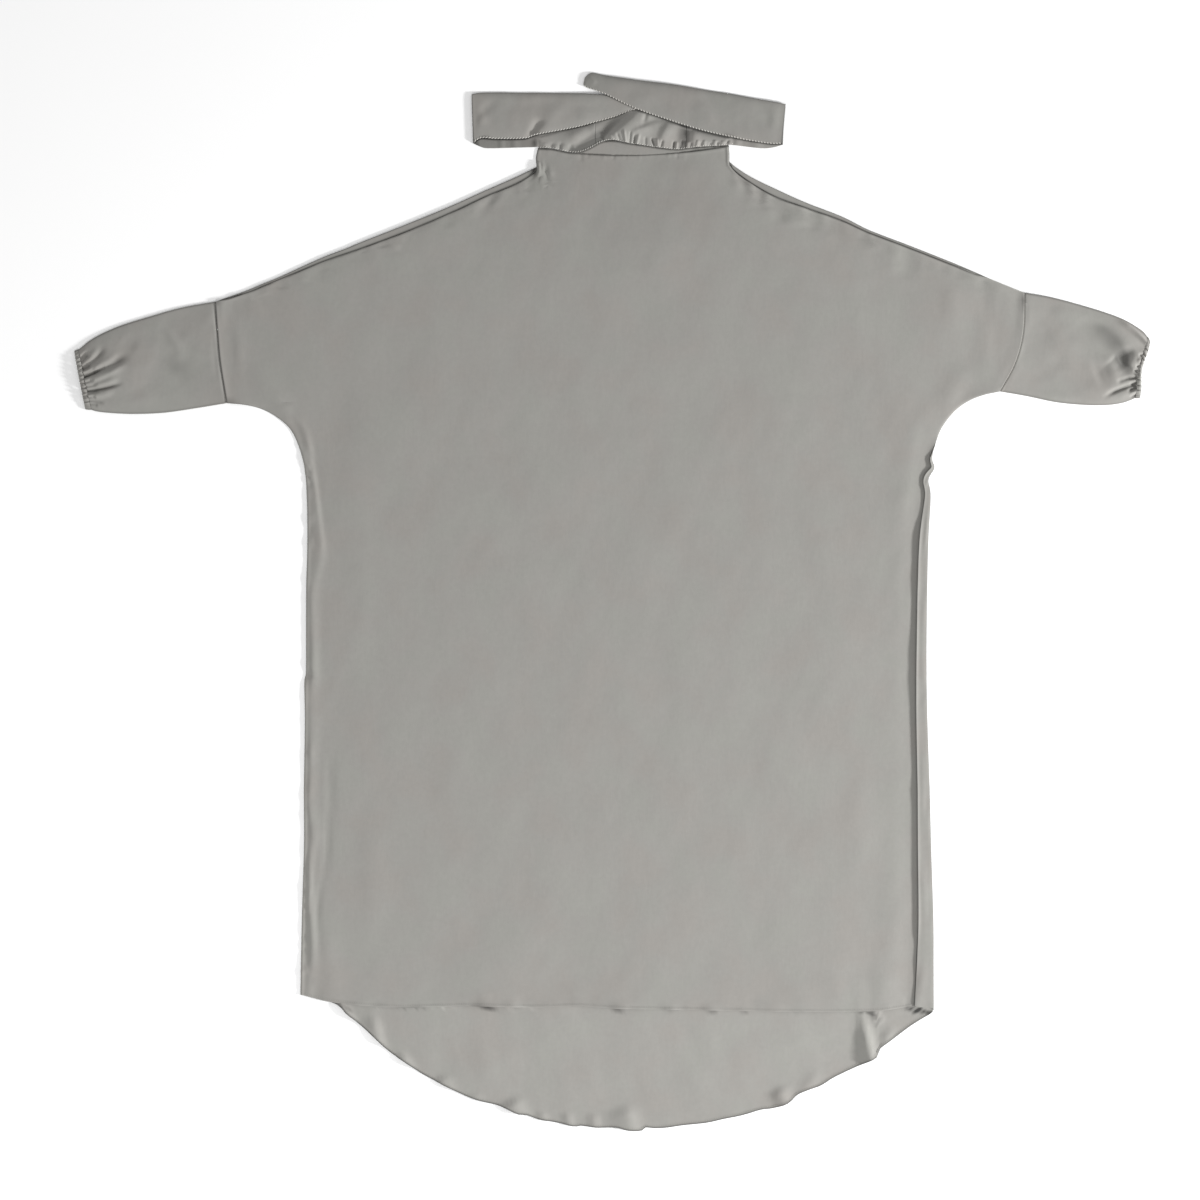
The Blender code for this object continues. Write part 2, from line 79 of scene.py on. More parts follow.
# The body's two edges from the neck down, and how wide a strip of the back is turned over each.
# A stretch begins with the last row of the one above it
# Columns: left_x, left_y, left_wrap, right_x, right_y, right_wrap
NECK_SIDES = (
    (-102, 626, 0, 161, 629.5, 0),
    (-105, 613, 0, 162, 618, 0),
    (-104, 600, 0, 162, 607, 0),
)
SHOULDERS = (
    NECK_SIDES[-1],
    (-113, 595, 6, 171, 599, 4.5),
    (-138, 583, 8.3, 193, 585, 6.9),
    (-177, 566, 7.6, 228, 568, 9.7),
    (-224, 544.8, 8.3, 268, 550, 6.6),
    (-283, 520.5, 9, 316, 531.5, 5),
    (-344, 496.5, 8, 350, 514.5, 3.6),
    (-366, 487.3, 6.5, 372, 505.5, 3.2),
    (-403, 473, 5.2, 413, 490, 3.2),
    (-458, 448, 3.2, 471, 467, 3.0),
    (-482, 438.3, 3.2, 497, 456, 2),
    (-505, 428.6, 3.2, 522, 445, 0),
    (-547, 413.8, 0, 569, 426, 0),
)
ARMHOLES = (
    SHOULDERS[-1],
    (-544, 373, 0, 567, 372, 0),
    (-540, 329, 0, 556, 329, 0),
    (-531, 273.6, 0, 535, 289.7, 0),
)
SIDES = (
    ARMHOLES[-1],
    (-506, 271.2, 0, 513, 285, 0),
    (-483, 265.4, 0, 492, 276.6, 0),
    (-463, 254.8, 0, 473, 262.8, 0),
    (-444, 238, 0, 456, 241.5, 0),
    (-433, 216, 0, 447.3, 221, 0),
    (-426, 193, 0, 441.5, 198, 3.2),
    (-423.5, 177, 0, 444.5, 184, 5),
    (-422, 162, 0, 436.5, 168, 7.5),
    (-420.5, 120, 0, 439.5, 145, 8.5),
    (-420.5, 73, 0, 436.5, 90, 12.8),
    (-422, 16, 0, 434.8, 23, 14),
    (-422.2, -67, 0, 433.8, -59, 14.5),
    (-422.4, -98, 0, 433.9, -98, 15),
    (-424.6, -113, 0, 434, -113, 15.2),
    (-423.8, -164, 0, 435, -164, 16),
    (-425.2, -260, 0, 438.2, -260, 17.5),
)
SKIRT = (
    SIDES[-1],
    (-425, -336, 0, 440.3, -343, 19.2),
    (-427.6, -425, 0, 443.3, -440, 21.5),
    (-429, -485, 0, 443.6, -505, 24),
    (-430, -542, 0, 443.8, -564, 27),
)
# Necks and hems, each a curve from the left edge to the right. Columns: x, y
BAND_SEAM = (
    (-102, 626), (-82, 624.8), (-62, 620.3), (-47, 619.3), (-31, 625), (-14, 634), (2, 636),
    (23, 632), (42, 629.3), (60, 626.5), (79, 624.2), (92, 623.6), (106, 625.5), (121, 627),
    (137, 628), (161, 629.5),
)
BACK_HEM = (
    (-430, -542), (-381, -555), (-366, -568.6), (-342, -588.4), (-325, -604), (-308, -620),
    (-284, -636.4), (-259, -653), (-209, -678.6), (-184, -688.3), (-159, -694.3),
    (-143, -700.6), (-130, -706.6), (-118, -708), (-101, -714.2), (-77, -718.4), (-52, -724),
    (-43, -723), (-19, -725.7), (6, -725.5), (20, -729), (37, -730), (44, -728), (48.5, -723),
    (53, -726), (72, -726), (97, -722.5), (130, -719), (155, -713.5), (180, -708.5),
    (205, -701), (221, -699), (238, -694), (247, -688.5), (256, -680), (271, -673.5),
    (288, -667.5), (304, -657.5), (321, -649), (346, -637.6), (357, -632.4), (365, -628.2),
    (368.7, -623.5), (369.8, -616.5), (373, -613.6), (384, -606), (412, -585), (431, -573.2),
    (438.5, -569), (443.8, -564),
)
# Creases, each a line from a start to an end. Columns: x, y, end_x, end_y, how wide it is to the
# left and to the right of its line, height, sideways bow, strength at the start and at the end
TAIL_CREASES = (
    (-372, -556, -357, -582, 5, 10, 4.4, 0, 1, 0.6),
    (-330, -568, -321, -610, 6, 14, 4.2, 0, 0.2, 1),
    (-293, -622, -281, -640, 6, 18, 3.8, 0, 0.2, 1),
    (-237, -654, -228, -672, 10, 14, 3.4, 0, 0, 1),
    (-190, -676, -186, -690, 8, 8, 1.4, 0, 0, 1),
    (-140, -684, -128, -712, 12, 24, 5.0, 0, 0, 1),
    (-99, -702, -93, -718, 5, 6, 2.2, 0, 0, 1),
    (-63, -702, -57, -725, 5, 6, 2.4, 0, 0, 1),
    (-26, -704, -22, -729, 5, 7, 2.2, 0, 0, 1),
    (16, -692, 29, -734, 11, 22, 4.2, 0, 0, 1),
    (226, -668, 243, -700, 12, 11, 4.4, 0, 0, 1),
    (287, -645, 264, -677, 7, 10, 1.4, 0, 0, 1),
    (362, -566, 371, -584, 4, 5, 2.6, 0, 1, 0.2),
    (386, -588, 374, -614, 6, 8, 2.0, 0, 0.3, 1),
    (-200, -600, -160, -668, 22, 26, 0.7, 6, 0, 0),
    (110, -620, 130, -700, 24, 22, 0.8, -5, 0, 0),
    (180, -590, 200, -680, 20, 30, 0.7, 4, 0, 0),
)
# The pleat that opens downwards from the front's hem. Columns: y, x, how wide it is to the left
# and to the right of its middle, height
TAIL_CONE = (
    (-552, 343, 3, 4, 0.2),
    (-564, 343.5, 3, 4, 0.9),
    (-571, 344.5, 4, 5, 1.9),
    (-585, 347.5, 6, 6, 3.8),
    (-602, 351.5, 9, 7, 6.2),
    (-622, 356.5, 12, 8, 8.2),
    (-645, 361, 13, 8, 8.6),
)
# Narrow gaps under the front's hem and the strip's end, where no light falls, as creases with a
# darkness in place of a height. It is below 0 where the hem's edge catches the light
HEM_GAPS = (
    (-306, -560.5, -253, -560.5, 1.2, 1.2, 0.4, 0, 0.2, 0.6),
    (-330, -560.3, -306, -560.3, 1.1, 1.1, -0.3, 0, 0.2, 0.5),
    (-252, -560, -216, -559.5, 1.2, 1.2, -0.5, 0, 0.3, 0.3),
    (-193, -559.3, -156, -561, 2, 2, 0.9, 0, 0.6, 0.3),
    (-156, -560.5, -99, -560, 1.2, 1.2, -0.5, 0, 0.5, 0.3),
    (0, -563.2, 15, -563.8, 1.4, 1.4, 0.6, 0, 0.4, 0.4),
    (29, -564.2, 41, -564.4, 1.1, 1.1, 0.4, 0, 0.5, 0.5),
    (75, -564.6, 88, -565, 1.5, 1.5, 0.7, 0, 0.5, 0.5),
    (128, -565, 145, -565, 1.3, 1.3, 0.5, 0, 0.5, 0.5),
    (177, -566, 188, -566, 1.2, 1.2, 0.4, 0, 0.5, 0.5),
    (252, -567, 263, -567, 1.2, 1.2, 0.3, 0, 0.5, 0.5),
    (334, -566.5, 366, -566, 1.4, 1.4, 0.6, 0, 0.4, 0.4),
    (356, -566.5, 369, -577, 2.5, 3, 0.7, 0, 1, 0.2),
    (402, -560, 424, -563.5, 2.5, 3, 1.0, 0, 0.1, 1),
    (422, -563.5, 440, -567.5, 2.5, 3, 1.0, 0, 1, 0.7),
    (-370, -558, -358, -566, 3, 3, 0.5, 0, 0.6, 0.3),
)
# Waves of the strip that is turned over the right side
STRIP_CREASES = (
    (441, 172, 430, 158, 3, 3, 0.9, 0, 0.6, 0.6),
    (436, 130, 429, 60, 2, 3, 0.9, 1, 0.2, 0.2),
    (430, 10, 428, -120, 3, 3, 0.5, -1, 0, 0.2),
    (437, -135, 424, -146, 3, 4, 1.0, 0, 0.4, 0.8),
    (428, -180, 428, -330, 4, 4, 0.6, 1, 0, 0),
    (426, -350, 431, -470, 6, 5, 0.8, 2, 0.2, 0.2),
    (420, -560, 432, -480, 6, 7, 0.7, -2, 0.8, 0),
)
# How far the right strip's seam stands up off the front. Columns: y, height
RIGHT_LIP = (
    (212, 0), (196, 2.2), (172, 1.8), (150, 1.2), (134, 0.4), (116, 0.4), (100, 2.0), (70, 2.3),
    (44, 1.9), (20, 2.2), (-14, 1.9), (-40, 2.2), (-74, 2.4), (-104, 1.9), (-136, 1.9),
    (-168, 1.6), (-198, 1.8), (-236, 1.5), (-270, 1.8), (-310, 1.4), (-350, 1.6), (-395, 1.9),
    (-425, 2.0), (-452, 1.6), (-470, 0.3), (-500, 0), (-524, -0.4), (-560, -0.5),
)
# Hollows with painted shade. Columns: x, y, half width, half height, how much painted shade darkens the
# middle
NECK_CORNER = (-108, 594, 5, 7, 0.9)


def through(rows, at):
    """Points on a smooth curve through the rows, where at 0 is the first row and at 1 the second.

    Each stretch is a Catmull-Rom cubic: it leaves a row and reaches the next in the direction of
    the line between the two rows on either side."""
    rows = np.asarray(rows, float)
    padded = np.vstack((2 * rows[0] - rows[1], rows, 2 * rows[-1] - rows[-2]))
    first = np.clip(np.floor(at).astype(int), 0, len(rows) - 2)
    t = (at - first)[:, None]
    a, b, c, d = (padded[first + step] for step in range(4))
    return b + t / 2 * (c - a + t * (2 * a - 5 * b + 4 * c - d + t * (3 * (b - c) + d - a)))


def evenly_through(rows, count):
    """So many points on the smooth curve, in even steps from the first row to the last."""
    return through(rows, np.linspace(0, len(rows) - 1, count))


def all_through(rows, steps):
    """The smooth curve through the rows, with that many steps from each to the next."""
    return evenly_through(rows, steps * (len(rows) - 1) + 1)


def curve_y(table, x):
    """Height at x of the smooth curve through a table of x and y, read off in straight lines
    between close points."""
    points = all_through(table, 6)
    return np.interp(x, points[:, 0], points[:, 1])


def down_curve(table, y):
    """Values at y of the smooth curve through a table whose first column is y and falls from row
    to row, read off in the same way."""
    points = all_through(table, 8)[::-1]
    return [np.interp(y, points[:, 0], column) for column in points[:, 1:].T]


def way_along(points):
    """Length of a line from its first point to each of its points."""
    return np.concatenate(((0,), np.cumsum(np.linalg.norm(np.diff(points, axis=0), axis=1))))


def ease(t):
    """A smooth step: 0 below 0, 1 above 1, and 3t² - 2t³ between."""
    t = np.clip(t, 0, 1)
    return t * t * (3 - 2 * t)


def between(x, low, high, fade):
    """1 between two limits and 0 beyond them, with an ease as long as the fade inside each."""
    return ease((x - low) / fade) * ease((high - x) / fade)


def bell(t):
    """A Gaussian curve, 1 at 0."""
    return np.exp(-(t**2))


def creases(x, y, rows, spread=1):
    """Height of the creases at plan points.

    Across its line a crease falls off as a Gaussian curve, with one width to the left and
    another to the right of it, and it is spread times as wide at its end. The line is bowed as a
    parabola, and along it the height eases from its strength at the start to full height and
    then to its strength at the end."""
    high = np.zeros_like(x)
    for x0, y0, x1, y1, left, right, rise, bow, start, end in rows:
        length = np.hypot(x1 - x0, y1 - y0)
        along = np.array((x1 - x0, y1 - y0)) / length
        t = ((x - x0) * along[0] + (y - y0) * along[1]) / length
        inside = np.clip(t, 0, 1)
        off = (y - y0) * along[0] - (x - x0) * along[1] - 4 * bow * inside * (1 - inside)
        wide = np.where(off > 0, left, right) * (1 + (spread - 1) * inside)
        beyond = (t - inside) * length / min(left, right)
        fade = (start + (1 - start) * ease(2.5 * inside)) * (end + (1 - end) * ease(2.5 - 2.5 * inside))
        high += rise * fade * bell(off / wide) * bell(beyond)
    return high


def hollows(x, y, rows):
    """Painted shade in hollows: the sum of their Gaussian curves of the distance from the middle, which
    is measured in half widths and half heights."""
    return sum(
        layers_and_shade * bell(np.hypot((x - middle_x) / wide, (y - middle_y) / high))
        for middle_x, middle_y, wide, high, layers_and_shade in rows
    )


def long_fold(x, y, rows):
    """Height of a long fold that runs down the garment: a Gaussian curve across it, whose
    middle, widths and height all change smoothly with y."""
    middle, left, right, high = down_curve(rows, y)
    return high * bell((x - middle) / np.where(x < middle, left, right))


def rumple(x, y, seed, count, shortest, longest, slope):
    """Uneven rise and fall of cloth smoothed by hand: a sum of sine waves whose directions,
    lengths and phases come from a seeded list. A wave is as high as its length times slope, and
    the sum is divided by the square root of their count."""
    draw = np.random.default_rng(seed)
    high = np.zeros_like(x)
    for _ in range(count):
        length = shortest * (longest / shortest) ** draw.random()
        turn, phase = 2 * np.pi * draw.random(2)
        way = x * np.cos(turn) + y * np.sin(turn)
        high += length * slope * np.sin(way * 2 * np.pi / length + phase)
    return high / np.sqrt(count)


def body_edges(counts):
    """Both edges of the body from the neck to the hem: places, inward directions and wraps.

    Counts is the rows on each stretch. Their places are the mean of even steps from one row of
    the table to the next and even steps of length. They close up towards the hem."""
    tables = (NECK_SIDES, SHOULDERS, ARMHOLES, SIDES, SKIRT)
    rows = []
    for table, count in zip(tables, counts):
        last = table is SKIRT
        share = 1 - (1 - np.linspace(0, 1, count, endpoint=last)) ** (SKIRT_CLOSES if last else 1)
        number = np.linspace(0, len(table) - 1, 8 * len(table))
        way = way_along(through(table, number))
        by_length = np.interp(share * way[-1], way, number)
        rows.append(through(table, (share * (len(table) - 1) + by_length) / 2))
    rows = np.vstack(rows)
    skirt = np.concatenate((np.zeros(len(rows) - len(share)), share))
    edges = []
    for columns, inward in (((0, 1, 2), 1), ((3, 4, 5), -1)):
        place = rows[:, columns[:2]]
        along = np.gradient(place, axis=0)
        normal = inward * np.stack((-along[:, 1], along[:, 0]), axis=1)
        normal /= np.linalg.norm(normal, axis=1, keepdims=True)
        edges.append((place, normal, np.maximum(rows[:, columns[2]], 0)))
    return *edges, skirt


def strip_radius(wrap):
    """Radius of the roll under a turned strip: it grows evenly with the strip's width."""
    return np.interp(wrap, (FULL_WRAP, WIDE_STRIP), (NARROW_ROLL, WIDE_ROLL))


def turned_edge(place, inward, wrap, lip):
    """The strip of the back beyond an edge: a half roll, then a flat part back to its seam.

    Run is the way along the strip. While it is on the roll the point turns round a circle, and after
    that it goes straight on. Where the wrap dies away the strip opens out flat. The rim and the lip
    lift it exponentially towards its seam. The cloth is darker where it turns over, as a Gaussian
    curve, for its extra layers, and exponentially at the seam, a dark seam line deepened with painted
    crevice shade."""
    turned = np.clip(wrap / FULL_WRAP, 0, 1)[:, None]
    radius = strip_radius(wrap)[:, None]
    start = radius + WALL / 2
    half_roll = np.pi * radius
    length = start + turned * (half_roll + wrap[:, None] - 2 * start)
    share = np.linspace(0, 1, ROLL_STEPS + STRIP_STEPS + 1)[1:]
    on_roll = np.linspace(0, 1, ROLL_STEPS + 1)[1:]
    past_roll = 1 - (1 - np.linspace(0, 1, STRIP_STEPS + 1)[1:]) ** STRIP_CLOSES
    rolled = np.hstack((on_roll * half_roll, half_roll + (length - half_roll) * past_roll))
    run = share * length + turned * (rolled - share * length)
    angle = np.pi * turned
    turn = np.minimum(run / radius, angle)
    rest = np.maximum(run - radius * angle, 0)
    out = radius * np.sin(turn) + rest * np.cos(angle)
    up = radius * (1 - np.cos(turn)) + rest * np.sin(angle)
    plan = place[:, None, :] + inward[:, None, :] * (start - out)[..., None]
    x, y = plan[..., 0], plan[..., 1]
    on_top = turned * ease(run / half_roll - 0.5)
    up += on_top * (SEAM_RIM * np.exp(run - length) + lip[:, None] * np.exp((run - length) / LIP_REACH))
    up += on_top * (creases(x, y, STRIP_CREASES) + rumple(x, y, 5, 14, 14, 60, 0.006))
    at_roll = 0.8 * turned * bell((out - radius) / 0.6)
    at_seam = (0.2 + 0.6 * turned) * np.exp((run - length) / 0.8)
    layers_and_shade = TWO_LAYERS + 0.04 * on_top + np.maximum(at_roll, at_seam)
    return np.dstack((plan, BACK_LEVEL + up)), layers_and_shade


def panel_plan(left, right, near, columns, neck, hem, hem_fade):
    """Rows of plan points from the left ends to the right, bowed to the neck and the hem.

    Near is the distances of the close columns from each edge, and the rest stand evenly. The
    neck's bow fades out evenly below it, and the hem's has its own share on each row."""
    width = np.linalg.norm(right - left, axis=1)[:, None]
    near = np.array(near, float)
    inner = np.linspace(0, 1, columns + 2)[1:-1]
    middle = near[-1] + inner * (width - 2 * near[-1])
    run = np.hstack((near + 0 * width, middle, width - near[::-1])) / width
    plan = left[:, None, :] + run[..., None] * (right - left)[:, None, :]
    depth = (NECK_SIDES[0][1] - plan[:, :, 1].mean(axis=1)) / NECK_DEPTH
    neck_fade = np.clip(1 - depth, 0, 1)[:, None]
    neck_fade[0] = 1
    x = plan[..., 0]
    plan[..., 1] += neck_fade * (curve_y(neck, x[0]) - plan[0, :, 1])
    plan[..., 1] += hem_fade[:, None] * (curve_y(hem, x[-1]) - plan[-1, :, 1])
    return plan


def hem_away(x, y, hem):
    """Distance in from a hem, square to it."""
    slope = np.gradient(curve_y(hem, x[-1]), x[-1])
    return (y - curve_y(hem, x)) * np.cos(np.arctan(slope))


def hem_fold(away):
    """Extra height of a narrow hem: its folded width stands up from the cloth with an ease, the
    line of stitches pulls it down in a Gaussian curve, and its edge is rounded off
    exponentially."""
    folded = ease((HEM_WIDE + 0.6 - away) / 1.2)
    return 0.5 * folded - 0.45 * bell((away - HEM_WIDE + 0.8) / 0.7) - 0.3 * np.exp(-away / 0.8)


def quads(first, second, third, fourth):
    """Quads from four arrays of corner numbers."""
    return np.stack((first, second, third, fourth), axis=-1).reshape(-1, 4)


def laid_mesh(name, points, faces, layers_and_shade, material):
    """A piece of the garment from its points in millimetres, its faces and, at each point, its mark of
    layers, painted shade and painted highlight, smooth shaded and fixed to the one body."""
    mesh = bpy.data.meshes.new(name)
    mesh.from_pydata((points * MM).tolist(), [], faces.tolist())
    mesh.shade_smooth()
    mesh.attributes.new("layers_and_shade", "FLOAT", "POINT").data.foreach_set("value", layers_and_shade / DARKEST_MARK)
    mesh.materials.append(material)
    piece = bpy.data.objects.new(name, mesh)
    bpy.context.scene.collection.objects.link(piece)
    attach(piece, "root")
    return piece


def cloth_piece(name, middle, layers_and_shade, wall, around, material):
    """A closed shell of cloth about a grid of middle points.

    Each point is moved along its normal by half the wall to either side. The normal is the cross
    product of the grid's two directions. The edges get a rim, apart from columns that close on
    themselves around a tube. The faces are turned if the volume they enclose is negative."""
    down = np.gradient(middle, axis=0)
    if around:
        across = np.roll(middle, -1, axis=1) - np.roll(middle, 1, axis=1)
    else:
        across = np.gradient(middle, axis=1)
    normal = np.cross(across, down)
    normal /= np.linalg.norm(normal, axis=2, keepdims=True)
    points = np.stack((middle + normal * wall / 2, middle - normal * wall / 2)).reshape(-1, 3)
    number = np.arange(middle.shape[0] * middle.shape[1]).reshape(middle.shape[:2])
    size = number.size
    here, after = (number, np.roll(number, -1, axis=1)) if around else (number[:, :-1], number[:, 1:])
    faces = [
        quads(here[:-1], after[:-1], after[1:], here[1:]),
        quads(here[:-1] + size, here[1:] + size, after[1:] + size, after[:-1] + size),
        quads(here[0], here[0] + size, after[0] + size, after[0]),
        quads(here[-1], after[-1], after[-1] + size, here[-1] + size),
    ]
    if not around:
        for edge in (number[:, 0], number[::-1, -1]):
            faces.append(quads(edge[:-1], edge[1:], edge[1:] + size, edge[:-1] + size))
    faces = np.vstack(faces)
    corners = points[faces]
    volume = np.einsum("ij,ij->", corners[:, 0], np.cross(corners[:, 1], corners[:, 2]))
    volume += np.einsum("ij,ij->", corners[:, 0], np.cross(corners[:, 2], corners[:, 3]))
    if volume < 0:
        faces = faces[:, ::-1]
    return laid_mesh(name, points, faces, np.tile(layers_and_shade.ravel(), 2), material)


def crepe(name, colour, moved):
    """Plain crepe: a matt cloth with a soft sheen and a very fine pebbled grain.

    Large faint clouds shift its grey towards pink and green, a finer noise mottles it, and a point
    attribute makes it paler or darker: paler where light from the floor comes up through one layer and
    at painted highlights, darker under more layers, along seams and where shade is painted into gaps,
    hollows and under edges. The bump adds upright crinkles of two sizes to the grain, about five and
    seventeen millimetres wide. Moved shifts the noise, so that the pieces' clouds differ."""
    material = bpy.data.materials.new(name)
    material.use_nodes = True
    tree = material.node_tree
    shader = tree.nodes["Principled BSDF"]
    place = tree.nodes.new("ShaderNodeTexCoord").outputs["Object"]

    def clouds(scale, detail, stretch=(1, 1, 1)):
        """Noise with so many clouds to the metre, drawn out where its stretch is under 1."""
        mapping = tree.nodes.new("ShaderNodeMapping")
        mapping.inputs["Location"].default_value = moved
        mapping.inputs["Scale"].default_value = stretch
        tree.links.new(place, mapping.inputs["Vector"])
        noise = tree.nodes.new("ShaderNodeTexNoise")
        noise.inputs["Scale"].default_value = scale
        noise.inputs["Detail"].default_value = detail
        tree.links.new(mapping.outputs["Vector"], noise.inputs["Vector"])
        return noise.outputs["Fac"]

    def shades(source, low, high, *colours):
        """The colours spread evenly over the values of a source from low to high."""
        ramp = tree.nodes.new("ShaderNodeValToRGB")
        ramp.color_ramp.elements.remove(ramp.color_ramp.elements[1])
        for number, shade in enumerate(colours):
            at = low + (high - low) * number / (len(colours) - 1)
            stop = ramp.color_ramp.elements.new(at) if number else ramp.color_ramp.elements[0]
            stop.position = at
            stop.color = (*shade, 1)
        tree.links.new(source, ramp.inputs["Fac"])
        return ramp.outputs["Color"]

    def product(first, second):
        """Two colours multiplied."""
        mix = tree.nodes.new("ShaderNodeMix")
        mix.data_type, mix.blend_type = "RGBA", "MULTIPLY"
        mix.inputs[0].default_value = 1
        tree.links.new(first, mix.inputs[6])
        tree.links.new(second, mix.inputs[7])
        return mix.outputs[2]

    def raised(source, distance, strength, before=None):
        """A bump as high as the source, over the bump before it."""
        bump = tree.nodes.new("ShaderNodeBump")
        bump.inputs["Distance"].default_value = distance
        bump.inputs["Strength"].default_value = strength
        tree.links.new(source, bump.inputs["Height"])
        if before:
            tree.links.new(before, bump.inputs["Normal"])
        return bump.outputs["Normal"]

    pinkish, greenish = colour * (1.012, 0.994, 0.99), colour * (0.99, 1.004, 0.995)
    ground = shades(clouds(14, 2), 0.35, 0.65, pinkish * 0.99, colour, greenish * 1.01)
    mottle = shades(clouds(170, 2), 0.3, 0.7, (0.965,) * 3, (1, 1, 1))
    layers_and_shade = tree.nodes.new("ShaderNodeAttribute")
    layers_and_shade.attribute_name = "layers_and_shade"
    depth = shades(layers_and_shade.outputs["Fac"], 0, 1, *((shade,) * 3 for shade in LAYER_AND_SHADE_TONES))
    tree.links.new(product(product(ground, mottle), depth), shader.inputs["Base Color"])
    grain = raised(clouds(900, 1), 0.0001, 0.5)
    small_crinkles = raised(clouds(210, 2, (1, 0.45, 1)), 0.0003, 0.3, grain)
    wide_crinkles = raised(clouds(60, 2, (1, 0.4, 1)), 0.001, 0.15, small_crinkles)
    tree.links.new(wide_crinkles, shader.inputs["Normal"])
    shader.inputs["Roughness"].default_value = 0.82
    shader.inputs["Specular IOR Level"].default_value = 0.25
    shader.inputs["Sheen Weight"].default_value = 0.1
    shader.inputs["Sheen Roughness"].default_value = 0.5
    return material


FRONT_HEM = (
    (-430, -542), (-382, -553), (-299, -560), (-195, -558), (-105, -560), (-44, -558),
    (8, -561.3), (137, -564), (250, -566), (350, -565.5), (385, -562.5), (414, -557.5),
)
left_edge, right_edge, skirt_share = body_edges(BACK_ROWS)
ends = []
for place, inward, wrap in (left_edge, right_edge):
    ends.append(place + inward * (strip_radius(wrap) + WALL / 2)[:, None])
plan = panel_plan(*ends, BACK_NEAR, BACK_COLUMNS, BAND_SEAM, BACK_HEM, skirt_share)
x, y = plan[..., 0], plan[..., 1]
in_tail = ease((TAIL_TOP - y) / TAIL_FADE)
away = hem_away(x, y, BACK_HEM)
in_neck = between(x, -60, 160, 30) * ease((y - 585) / 20)
lift = creases(x, y, TAIL_CREASES) + long_fold(x, y, TAIL_CONE) + NECK_RISE * in_neck
uneven = rumple(x, y, 11, 30, 30, 160, 0.004) + rumple(x, y, 14, 20, 8, 24, 0.004)
lift += in_tail * (TAIL_RISE + uneven + hem_fold(away))
middle = np.dstack((plan, BACK_LEVEL + np.maximum(lift, -0.05)))
# Only one layer lies below the front's hem. The back's own hem is denser, most of all its edge
layers_and_shade = TWO_LAYERS + (ONE_LAYER - TWO_LAYERS) * ease((curve_y(FRONT_HEM, x) + 6 - y) / 4)
layers_and_shade += in_tail * (0.1 * ease(HEM_WIDE - away) + 0.8 * bell(away / 1.6)) + creases(x, y, HEM_GAPS)
left_strip, left_dense = turned_edge(*left_edge, 0 * left_edge[2])
left_dense += hollows(left_strip[..., 0], left_strip[..., 1], (NECK_CORNER,))
right_y = right_edge[0][:, 1]
right_strip, right_dense = turned_edge(*right_edge, down_curve(RIGHT_LIP, right_y)[0])
leaning = CORNER_LEAN * ease((CORNER_TOP - right_y) / CORNER_FADE)[:, None]
right_strip[..., 1] += leaning * np.linspace(0, 1, right_strip.shape[1])
body_crepe = crepe("crepe_body", CREPE_GREY, (0, 0, 0))
back_cloth = cloth_piece(
    "back_cloth",
    np.hstack((left_strip[:, ::-1], middle, right_strip)),
    np.hstack((left_dense[:, ::-1], layers_and_shade, right_dense)),
    WALL,
    False,
    body_crepe,
)
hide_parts("back_panel")
tail_rows = middle[-40:]

# Front panel
# The same batwing cut in the same crepe, with a shallow scooped neck and a straight hem that
# stops short of the back's. It lies on the back, climbs to the raised right seam, and keeps
# soft ridges along both sides and short puckers under its shoulder seams.
SEAM_GAP = 0.3
FRONT_LEVEL = 1.8
FRONT_ROWS = (10, 84, 16, 110, 60)
FRONT_NEAR = (0, 0.7, 1.4, 2.2, 3.2, 4.5, 6, 7.5, 9, 11, 13, 15.5, 18, 21, 24, 28, 32, 37, 43, 50)
FRONT_COLUMNS = 98
FRONT_HEM_POWER = 3  # how late the rows take up the hem's curve
BODY_RISE = 0.6  # how much higher the middle stands than the seams
ARMHOLE_CREST = 1.5  # how far the body rises to the armholes' seams
EDGE_DIP = 1.1  # how far the left edge bends down to the other seams
SHOULDER_RIDGE = 1.1  # how far the allowance lifts the front beside the right shoulder's seam
CLIMB_TOP, CLIMB_FADE = 214, 16  # below this the front climbs to the right strip's seam
NECK_DIP = 0.4  # how far the neck's edge is rounded off
ARM_HEIGHT = 262  # the armholes' seams are above this
SIDE_TOP, SIDE_FADE = 240, 30  # where the sides begin under the arms
SHOULDER_HEIGHT = 440  # the shoulder seams are above this
NECKLINE = (
    (-102, 624.6), (-82, 623.4), (-62, 619), (-46, 618), (-30, 617), (-8, 615.8), (14, 615.6),
    (45, 616.3), (76, 618.1), (91, 619.4), (115, 621.8), (137, 624.6), (161, 628.4),
)
# Long folds beside the seams, from the top down. Columns: y, x, how wide it is to the left and
# to the right of its middle, height
LEFT_RIDGE = (
    (260, -441, 5, 8, 0),
    (237, -424, 6, 5, 1.3),
    (209, -419, 6, 4.5, 1.7),
    (191, -415.5, 6, 4, 1.9),
    (157, -409.5, 9, 3, 1.9),
    (132, -406.5, 10, 3, 2),
    (107, -403.5, 12, 3, 2),
    (80, -400.5, 14, 3.5, 1.9),
    (57, -403, 12, 6, 1.3),
    (16, -413, 6, 8, 1.4),
    (-32, -413, 6, 8, 1.7),
    (-81, -412, 6, 7, 2.1),
    (-104, -412, 6, 8, 1.6),
    (-130, -414, 6, 9, 0.9),
    (-164, -414, 6, 10, 1.2),
    (-205, -415, 5, 9, 1.5),
    (-239, -416, 5, 8, 1.4),
    (-274, -417, 4, 9, 1.6),
    (-300, -414, 5, 9, 1.8),
    (-324, -412, 6, 8, 1.9),
    (-343, -415, 4, 7, 1.6),
    (-359, -417, 4, 6, 1.7),
    (-384, -418, 4, 6, 1.6),
    (-419, -417, 4, 6, 1.9),
    (-453, -414, 5, 6, 2),
    (-488, -413, 5, 6, 1.8),
    (-520, -416, 6, 8, 0.8),
    (-560, -422, 5, 9, 0.4),
)
